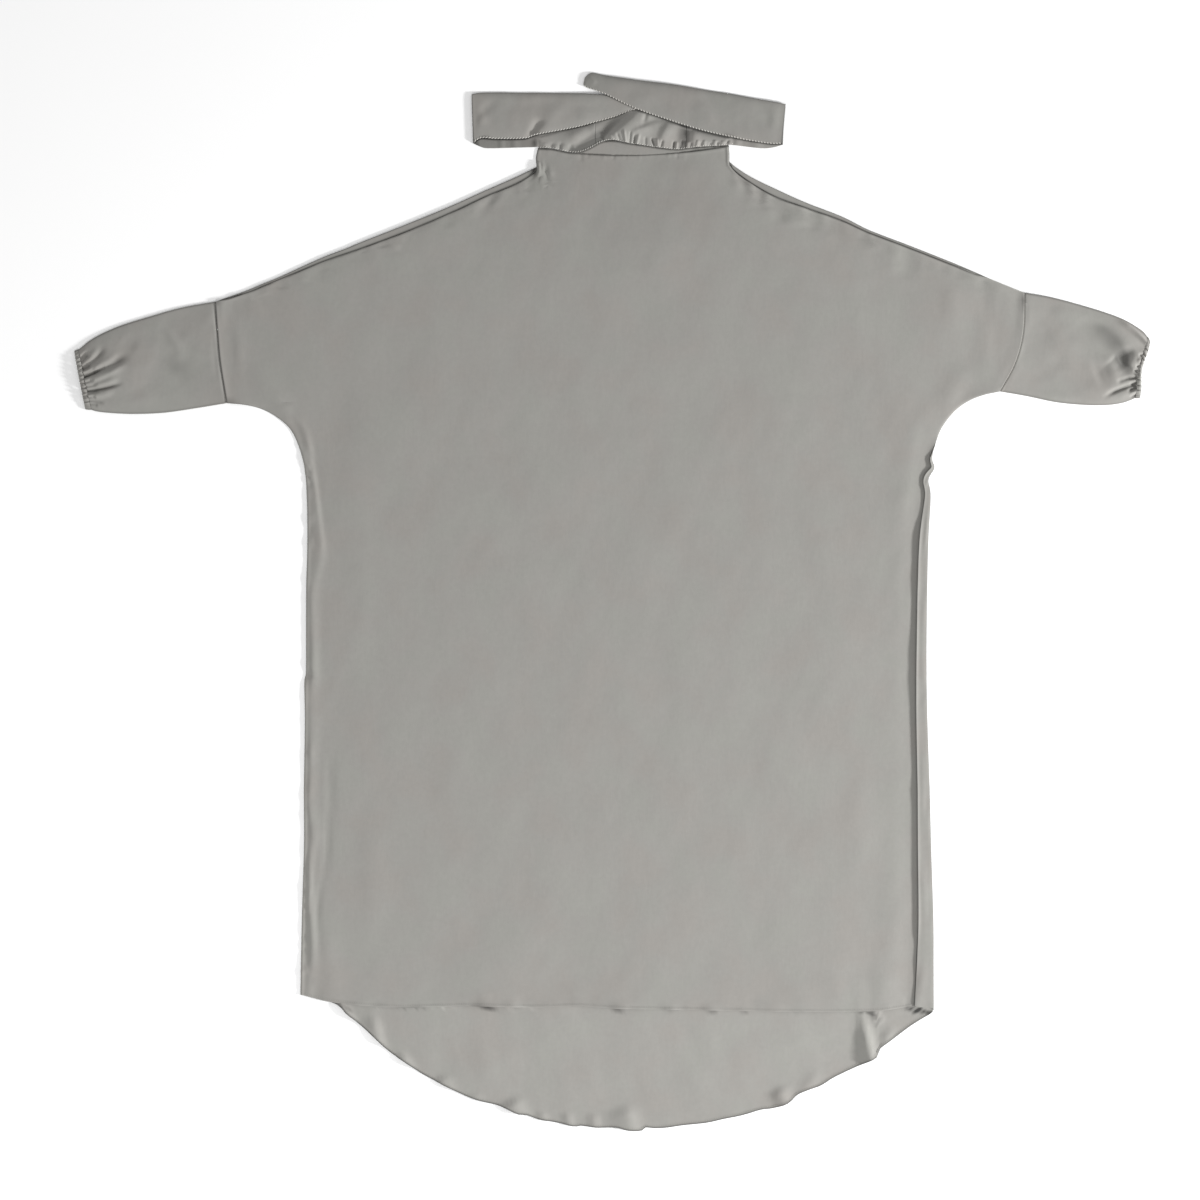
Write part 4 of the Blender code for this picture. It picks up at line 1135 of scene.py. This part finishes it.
# Forehead band
# A strip of the crepe, folded along its top and gathered by hand along its lower seam, where it
# joins the top of the back panel. It puffs up between that seam and the ties laid over it, in
# one broad fold on the left, and small sharp puckers along the seam.
BAND_LEFT = -23
BAND_RIGHT = 102
BAND_TOP = 696
BAND_STATIONS = 150
BAND_ROWS = 74
BAND_LEVEL = 2.2
PUFF_HIGH = 4.4
PUFF_SPAN = 30  # narrowest width that puffs up to its full height
TIE_EDGE_OVER_BAND = (
    (-98, 642), (-51, 655), (4, 669), (32, 680), (79, 664), (102, 656), (146, 644), (164, 641),
)
# The broad folds, then the small puckers along the seam. Columns as for the tail's creases
BAND_CREASES = (
    (-17, 624, 42, 676, 9, 21, 4.0, 0, 0.8, 0.7),
    (-50, 622, 20, 670, 9, 8, -3.0, -2, 0.7, 0.6),
    (-52, 616, -6, 640, 8, 9, -4.5, 0, 0.9, 0.3),
    (-62, 634, -28, 656, 9, 8, 2.2, 2, 0.3, 0.3),
    (22, 642, 58, 654, 4, 8, 1.6, 2, 0.2, 0.2),
    (38, 656, 66, 664, 6, 4, -1.4, 2, 0.2, 0.4),
    (43, 659, 48, 675, 3, 3, -1.6, 0, 0.2, 1),
    (66, 629, 82, 660, 6, 9, 2.6, 2, 0.4, 0.5),
    (99, 622, 101, 658, 11, 9, -3.4, 0, 0.8, 0.6),
    (114, 627, 112, 650, 6, 8, 1.6, 0, 0.5, 0.5),
    (19, 632, 16, 652, 1.6, 1.6, 2.2, 0, 1, 0),
    (24, 632, 26, 650, 1.6, 1.6, -1.8, 0, 1, 0),
    (30, 630, 32, 645, 1.5, 1.5, -3.0, 0, 1, 0),
    (34, 631, 38, 646, 1.8, 1.8, 1.8, 0, 1, 0),
    (11, 634, 6, 647, 1.8, 2, -1.6, 0, 1, 0),
    (2, 635, -6, 646, 1.8, 2, 1.4, 0, 1, 0),
    (-10, 634, -16, 644, 1.8, 2, -1.4, 0, 1, 0),
    (46, 631, 46, 642, 2, 2, -1.3, 0, 1, 0),
    (58, 629, 54, 640, 1.6, 1.6, -2.6, 0, 1, 0),
    (63, 629, 62, 639, 1.6, 1.6, 1.7, 0, 1, 0),
    (68, 628, 70, 637, 1.6, 1.6, -2.4, 0, 1, 0),
    (84, 625, 86, 636, 1.6, 1.6, -2.4, 0, 1, 0),
    (89, 625, 90, 635, 1.6, 1.6, 1.7, 0, 1, 0),
    (95, 626, 97, 638, 1.6, 1.6, -2.2, 0, 1, 0),
    (104, 627, 105, 635, 1.8, 1.8, 1.6, 0, 1, 0),
    (109, 628, 110, 634, 1.6, 1.6, -1.3, 0, 1, 0),
    (117, 628, 119, 637, 1.6, 1.6, 1.6, 0, 1, 0),
    (122, 628, 123, 634, 1.5, 1.5, -1.1, 0, 1, 0),
    (127, 628, 128, 637, 1.6, 1.6, 1.5, 0, 1, 0),
    (135, 628, 136, 634, 1.6, 1.6, -1.2, 0, 1, 0),
    (141, 629, 143, 637, 1.6, 1.6, 1.7, 0, 1, 0),
    (145, 629, 146, 635, 1.6, 1.6, -1.6, 0, 1, 0),
    (152, 630, 154, 636, 1.8, 1.8, 1.2, 0, 1, 0),
    (158, 630, 162, 639, 1.6, 1.6, -2.0, 0, 1, 0),
    (-30, 626, -33, 634, 1.8, 1.8, 0.8, 0, 1, 0),
    (-40, 622, -44, 632, 2, 2, -1.1, 0, 1, 0),
    (-48, 620, -53, 630, 2, 2, 1.0, 0, 1, 0),
    (-58, 620, -55, 633, 1.8, 1.8, -1.2, 0, 1, 0),
    (-66, 621, -70, 630, 2, 2, 0.8, 0, 1, 0),
    (-72, 623, -69, 635, 2, 2, -1.6, 0, 1, 0),
    (-78, 623, -77, 631, 1.6, 1.6, 1.1, 0, 1, 0),
    (-84, 624, -81, 635, 2, 2, -1.1, 0, 1, 0),
    (-92, 625, -92, 634, 2, 2, 1.1, 0, 1, 0),
    (-99, 625, -103, 642, 2.5, 2, -2.4, 0, 1, 0.3),
)


def band_lift(x, y):
    """Rise of the band over its level: a puff, as a power of a sine, between its seam and the
    ties' edges, with the creases on it. It falls into a groove beside the ties, which is wider
    on the right, and lies flat under them."""
    seam = curve_y(BAND_SEAM, x)
    groove = 1 + 1.2 * ease((x - 30) / 10)
    span = np.maximum(curve_y(TIE_EDGE_OVER_BAND, x) - groove - seam, 1)
    up = np.clip((y - seam) / span, 0, 1)
    swell = np.sin(np.pi * np.clip(up, 0.0001, 0.9999)) ** PUFF_POWER
    puff = PUFF_HIGH * np.minimum(1, span / PUFF_SPAN) * swell
    shown = ease((1 - up) * span / 4) * ease((x + 106) / 12) * ease((170 - x) / 10)
    pinch = -0.4 * np.exp(-(up * span) / 1.2)
    return shown * (creases(x, y, BAND_CREASES) + pinch) + puff * (0.35 + 0.65 * ease((x + 70) / 60))


def band_dark(x, y):
    """Painted shade on the band: in its hollows, as an ease of their depth, painted shadow right beside
    the ties, and a darker line along its seam, both as Gaussian curves."""
    hollow = 0.55 * ease(-creases(x, y, BAND_CREASES) / 3.2)
    below_tie = curve_y(TIE_EDGE_OVER_BAND, x) - 1.2 - y
    beside = (0.4 + 0.5 * ease((x - 20) / 20)) * bell(below_tie / 1.5)
    at_seam = 0.2 * bell((y - curve_y(BAND_SEAM, x)) / 1.2)
    return between(x, -104, 166, 6) * (hollow + beside + at_seam)


band_x = np.linspace(BAND_LEFT + 0.05, BAND_RIGHT - 0.05, BAND_STATIONS)[:, None]
seam = curve_y(BAND_SEAM, band_x) + SEAM_GAP
crease_line = BAND_TOP - SLEEVE_ROLL
turn = np.linspace(0, np.pi, SLEEVE_ROUND + 2)[1:-1]
below = seam + np.linspace(0, 1, 4) * (crease_line - seam)
above = crease_line + np.linspace(0, 1, BAND_ROWS) * (seam - crease_line)
band_y = np.hstack((below, crease_line + SLEEVE_ROLL * np.sin(turn) + 0 * band_x, above))
band_up = BACK_LEVEL + SLEEVE_ROLL * (1 - np.cos(turn))
upper = BAND_LEVEL + np.maximum(band_lift(band_x + 0 * above, above), -0.9)
level = np.hstack((BACK_LEVEL + 0 * below, band_up + 0 * band_x, upper))
band_grid = np.dstack((band_x + 0 * band_y, band_y, level))
layers_and_shade = TWO_LAYERS + band_dark(band_x + 0 * band_y, band_y)
band = cloth_piece("forehead_band_cloth", band_grid, layers_and_shade, WALL, False, gathered_crepe)
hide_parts("forehead_band")

# Ties
# Two long strips of doubled crepe, overlocked along one edge and tapering to a point. Each is
# gathered into the garment at its root, runs outwards, and is folded back over itself. The
# right one lies on the left one, and its tip hangs over the left one's upper edge.
TIE_WALL = 1.0
TIE_LEVEL = 0.8
TIE_CROWN = 0.9
TIE_DROOP = 3.5  # how far in from its upper edge the top layer bends to the floor
TIE_ACROSS = 66
TIE_UNDER_ROWS, TIE_TOP_ROWS = 110, 120
# A painted shadow lies in the gap below each tie's edge
TIE_GAP, TIE_GAP_WIDE = 0.9, 1.2  # the dark gap below a tie's edge: how far below, how wide
TIE_STITCH = (4.2, 3.8, 1.3)  # from one to the next, length, thickness
TIE_SLANT = 34
# Columns of the layer underneath: x, low_y, high_y
TIE_LEFT_UNDER = (
    (-189, 631, 699.5),
    (-181, 627.5, 699.5),
    (-172, 625.5, 699.2),
    (-141, 626, 699),
    (-103, 627, 698),
    (-60, 627, 697),
    (-23.05, 627, 695.5),
)
TIE_RIGHT_UNDER = (
    (234.5, 630, 686.5),
    (222, 626.5, 687.5),
    (204, 625.5, 688.5),
    (164, 630, 692.5),
    (128, 631, 695),
    (102.05, 631, 695.5),
)
# Columns of the top layer: low_x, low_y, high_x, high_y, level, level of its upper edge
TIE_LEFT_TOP = (
    (-190.5, 634, -193, 699.5, 3.4, 2.4),
    (-180, 639.5, -181, 701.5, 3.3, 1.6),
    (-160, 638.5, -160, 702, 3.3, 1.4),
    (-122, 639, -122, 701.5, 3.4, 1.4),
    (-104, 644, -104, 701.5, 3.6, 1.4),
    (-51, 654, -51, 701, 3.7, 1.4),
    (-28, 660, -28, 700, 3.7, 2.4),
    (4, 669, 4, 697.5, 3.7, 3.2),
    (32, 679, 32, 696, 3.6, 3.2),
    (83, 687, 83, 693, 3.4, 3.2),
)
TIE_RIGHT_TOP = (
    (233, 632, 238.8, 686, 3.2, 2.6),
    (218, 632, 220, 689.5, 3.4, 2.4),
    (190, 636, 190, 695, 3.7, 1.6),
    (164, 641, 164, 700, 4.2, 1.5),
    (128, 649, 128, 705.5, 4.8, 1.5),
    (88, 661, 88, 712.5, 5.5, 1.5),
    (32, 680, 32, 719.5, 5.8, 1.5),
    (-9, 699.5, -8, 725.3, 5.6, 1.5),
    (-34, 708.5, -28, 728.8, 2.9, 1.4),
    (-39.5, 713, -37.5, 722.5, 1.8, 1.4),
)
# Painted shade beside the left tie's fold and at the end of the band's seam. Columns as for the neck's
# corner
TIE_HOLLOWS = ((-187, 630, 4, 5, 0.5), (-107, 632, 4, 6, 0.5))
# Creases of the layers underneath and on top
TIE_UNDER_CREASES = (
    (-177, 624, -176, 640, 4, 5, -0.7, 0, 1, 0.5),
    (-163, 624, -163, 640, 4, 5, -0.8, 0, 1, 0),
    (-152, 624, -153, 640, 4, 5, 0.7, 0, 1, 0),
    (-144, 624, -144, 640, 4, 4, -0.9, 0, 1, 0),
    (-133, 624, -135, 640, 5, 4, 0.8, 0, 1, 0),
    (-121, 624, -124, 640, 4, 5, -0.8, 0, 1, 0),
    (-109, 624, -112, 642, 3, 3, -1.2, 0, 1, 0.5),
    (200, 622, 199, 640, 6, 6, 0.7, 0, 1, 0),
    (184, 622, 186, 640, 5, 6, -0.6, 0, 1, 0),
    (170, 624, 174, 642, 4, 5, 0.9, 0, 1, 0),
    (216, 622, 212, 640, 5, 5, -0.6, 0, 1, 0),
)
TIE_LEFT_CREASES = (
    (-184, 666, -156, 694, 7, 8, -1.0, 2, 0, 0),
    (-186, 655, -174, 674, 6, 7, 0.8, 0, 0.4, 0),
    (-181, 638, -164, 638, 3, 2, 1.6, 0, 0.3, 0.3),
    (-114, 640, -100, 643, 4, 3, 2.2, 0, 0.3, 0.5),
    (-114, 636, -92, 668, 6, 5, -3.2, 3, 0.8, 0),
    (-96, 646, -66, 690, 10, 12, 1.0, 3, 0.4, 0),
    (-40, 656, -36, 684, 12, 14, 0.8, 0, 0, 0),
    (-150, 690, -70, 694, 6, 6, 0.4, 2, 0, 0),
)
TIE_RIGHT_CREASES = (
    (232, 690, 226, 644, 7, 9, 0.5, -2, 0, 0),
    (222, 676, 208, 650, 9, 10, -0.5, -2, 0, 0),
    (110, 690, 140, 652, 12, 14, 0.9, 3, 0, 0.3),
    (20, 700, 60, 690, 10, 10, 0.5, 0, 0, 0),
    (180, 660, 160, 690, 14, 12, 0.5, 0, 0, 0),
    (154, 642, 176, 636, 4, 3, 1.6, 0, 0.3, 0.3),
    (-33, 726, -20, 712, 3, 6, 0.8, 0, 0.4, 0),
)


def gap_below(line, x, y):
    """Painted shadow in the gap below a tie's low edge, a Gaussian curve of the height below it. The
    line's first two columns are the edge's x and y."""
    line = line[np.argsort(line[:, 0])]
    return bell((np.interp(x, line[:, 0], line[:, 1]) - TIE_GAP - y) / TIE_GAP_WIDE)


def tie_grid(under, top, rows, outward, plain, seed):
    """A tie from its root out to the fold and back to its tip, as rows across the strip.

    The fold is a half circle between the two layers. The top layer bends down a little at both
    of its edges, and its upper edge goes down to its own level, exponentially with the way in
    from it. At its root the tie has the band's level and puff.

    The lower layer carries the band's painted shade where the band would be, painted shadow below the
    top layer's edge, painted shade outside the neck and in its hollows, and a dark seam line at its
    root. The fold is darker all over, for its layers, and so is the top layer along its upper edge and
    beside the fold; on the left the top layer carries the painted shadow of the other tie that crosses
    it."""
    under = evenly_through(under, TIE_UNDER_ROWS)[::-1]
    top = evenly_through(top, TIE_TOP_ROWS)
    share = np.linspace(0, 1, TIE_ACROSS + 1) ** 1.15
    x, low, high = under[:, :1], under[:, 1:2], under[:, 2:3]
    sewn = (x > BAND_SEAM[0][0]) & (x < BAND_SEAM[-1][0])
    low = np.where(sewn, curve_y(BAND_SEAM, x) + SEAM_GAP, low)
    y = low + share * (high - low)
    x = x + 0 * y
    over_panel = between(x, -108, 168, 8)
    at_band = np.maximum(ease((x + 40) / 16) * (x < 0), ease((118 - x) / 16) * (x > 0))
    up = over_panel * np.maximum(at_band, ease((660 - y) / 20))
    lift = band_lift(x, y) * over_panel + creases(x, y, TIE_UNDER_CREASES)
    level = TIE_LEVEL + up * (BAND_LEVEL + (WALL - TIE_WALL) / 2 - TIE_LEVEL)
    under_layer = np.dstack((x, y, level + np.maximum(lift, -0.7 * over_panel - 0.2)))
    shade = np.maximum(band_dark(x, y), 0.9 * gap_below(top, x, y))
    shade += 0.3 * ease((-104 - x) / 6) + hollows(x, y, TIE_HOLLOWS)
    shade[0] += 0.35
    places = top[:, None, :2] + share[:, None] * (top[:, 2:4] - top[:, :2])[:, None, :]
    width = np.linalg.norm(top[:, 2:4] - top[:, :2], axis=1)[:, None]
    edge = np.minimum(share, 1 - share) * width
    x, y = places[..., 0], places[..., 1]
    faded = ease(np.linspace(0, 8, len(top)))[:, None]
    upper = (1 - share) * width
    lift = creases(x, y, rows) + TIE_CROWN * (1 - np.exp(-edge / 4))
    lift += rumple(x, y, seed, 20, 16, 90, 0.006)
    level = top[:, 4:5] - (top[:, 4:5] - top[:, 5:6]) * np.exp(-upper / TIE_DROOP)
    top_layer = np.dstack((places, level + lift * faded))
    turn = np.linspace(0, np.pi, SLEEVE_ROUND + 4)[1:-1, None, None]
    start, end = under_layer[-1], top_layer[0]
    radius = (end[:, 2] - start[:, 2]) / 2
    fold = start + (1 - np.cos(turn)) / 2 * (end - start)
    fold[..., 0] += outward * radius * np.sin(turn[..., 0])
    rim = np.minimum(upper, np.abs(x - x[0]) + 0.6)
    # Painted shadow that the right tie casts on the left tie's top layer, below its low edge
    crossed = 0.6 * between(x, -42, 38, 8) * gap_below(np.array(TIE_RIGHT_TOP), x, y)
    top_shade = plain + 0.3 * bell(rim / 1.2) + crossed * (outward < 0)
    layers_and_shade = np.vstack((shade, 0.8 + 0 * fold[..., 2], top_shade))
    return np.vstack((under_layer, fold, top_layer)), TWO_LAYERS + layers_and_shade


tie_crepe = crepe("crepe_tie", CREPE_GREY, (9, 3, 0))
pale_thread = crepe("pale_thread", 1.9 * CREPE_GREY, (5, 7, 0))
# The last columns: the way out from the band, how much darker the top layer is, seed
for side, under, top, rows, outward, plain, seed in (
    ("left", TIE_LEFT_UNDER, TIE_LEFT_TOP, TIE_LEFT_CREASES, -1, 0.03, 51),
    ("right", TIE_RIGHT_UNDER, TIE_RIGHT_TOP, TIE_RIGHT_CREASES, 1, 0.08, 52),
):
    grid, layers_and_shade = tie_grid(under, top, rows, outward, plain, seed)
    tie = cloth_piece(f"tie_{side}_cloth", grid, layers_and_shade, TIE_WALL, False, tie_crepe)
    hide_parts(f"tie_{side}")
    low_edge = grid[-TIE_TOP_ROWS:-3, 0] + (0, 0.4, TIE_WALL / 2)
    stitches(f"tie_{side}_overlock", low_edge, *TIE_STITCH, -outward * TIE_SLANT, pale_thread)

# Band seam
# The gathers are held by an overlocked seam, whose slanting stitches show along the band's edge.
SEAM_STITCH = (3.6, 3.2, 0.9)  # from one to the next, length, thickness
SEAM_SLANT = 35
seam_x = np.linspace(BAND_SEAM[0][0] + 2, BAND_SEAM[-1][0] - 2, 160)
seam_y = curve_y(BAND_SEAM, seam_x) + 1.2
seam_level = BAND_LEVEL + WALL / 2 + np.maximum(band_lift(seam_x, seam_y), -0.7)
seam_path = np.stack((seam_x, seam_y, seam_level), axis=1)
stitches("band_seam_overlock", seam_path, *SEAM_STITCH, SEAM_SLANT, pale_thread)

# Floor, light and camera
# A plain white floor under a bright even sky. One lamp stands low on the right, so that folds
# and edges throw short shadows to the left, and a large one hangs over the hem.
FRAME_WIDE = 1.656  # how much of the floor the picture spans, in metres
FRAME_MIDDLE = (-0.0166, 0.0021)
CAMERA_HIGH = 4.0
SENSOR = 36.0
mesh = bpy.data.meshes.new("floor")
mesh.from_pydata([(-9, -9, 0), (9, -9, 0), (9, 9, 0), (-9, 9, 0)], [], [(0, 1, 2, 3)])
floor = bpy.data.objects.new("floor", mesh)
bpy.context.scene.collection.objects.link(floor)
floor_paint = bpy.data.materials.new("floor_paint")
floor_paint.use_nodes = True
shader = floor_paint.node_tree.nodes["Principled BSDF"]
shader.inputs["Base Color"].default_value = (0.97, 0.97, 0.97, 1)
shader.inputs["Roughness"].default_value = 0.9
shader.inputs["Emission Color"].default_value = (1, 1, 1, 1)
shader.inputs["Emission Strength"].default_value = 0.03
mesh.materials.append(floor_paint)
world = bpy.data.worlds.new("studio")
bpy.context.scene.world = world
world.use_nodes = True
world.node_tree.nodes["Background"].inputs["Color"].default_value = (1, 1, 1, 1)
world.node_tree.nodes["Background"].inputs["Strength"].default_value = 0.57
for name, size, energy, place in (
    ("low_lamp", 0.5, 200, (3.4, -0.85, 1.1)),
    ("hem_lamp", 1.2, 22.5, (-0.4, -1.6, 2.0)),
):
    lamp = bpy.data.lights.new(name, "AREA")
    lamp.shape = "DISK"
    lamp.size = size
    lamp.energy = energy
    light = bpy.data.objects.new(name, lamp)
    light.location = place
    light.rotation_mode = "QUATERNION"
    light.rotation_quaternion = light.location.to_track_quat("Z", "Y")
    light.visible_camera = False
    bpy.context.scene.collection.objects.link(light)
camera = bpy.data.cameras.new("from_above")
camera.sensor_width = SENSOR
camera.lens = SENSOR * CAMERA_HIGH / FRAME_WIDE
from_above = bpy.data.objects.new("from_above", camera)
from_above.location = (*FRAME_MIDDLE, CAMERA_HIGH)
bpy.context.scene.collection.objects.link(from_above)
bpy.context.scene.camera = from_above
bpy.context.scene.view_settings.view_transform = "Standard"
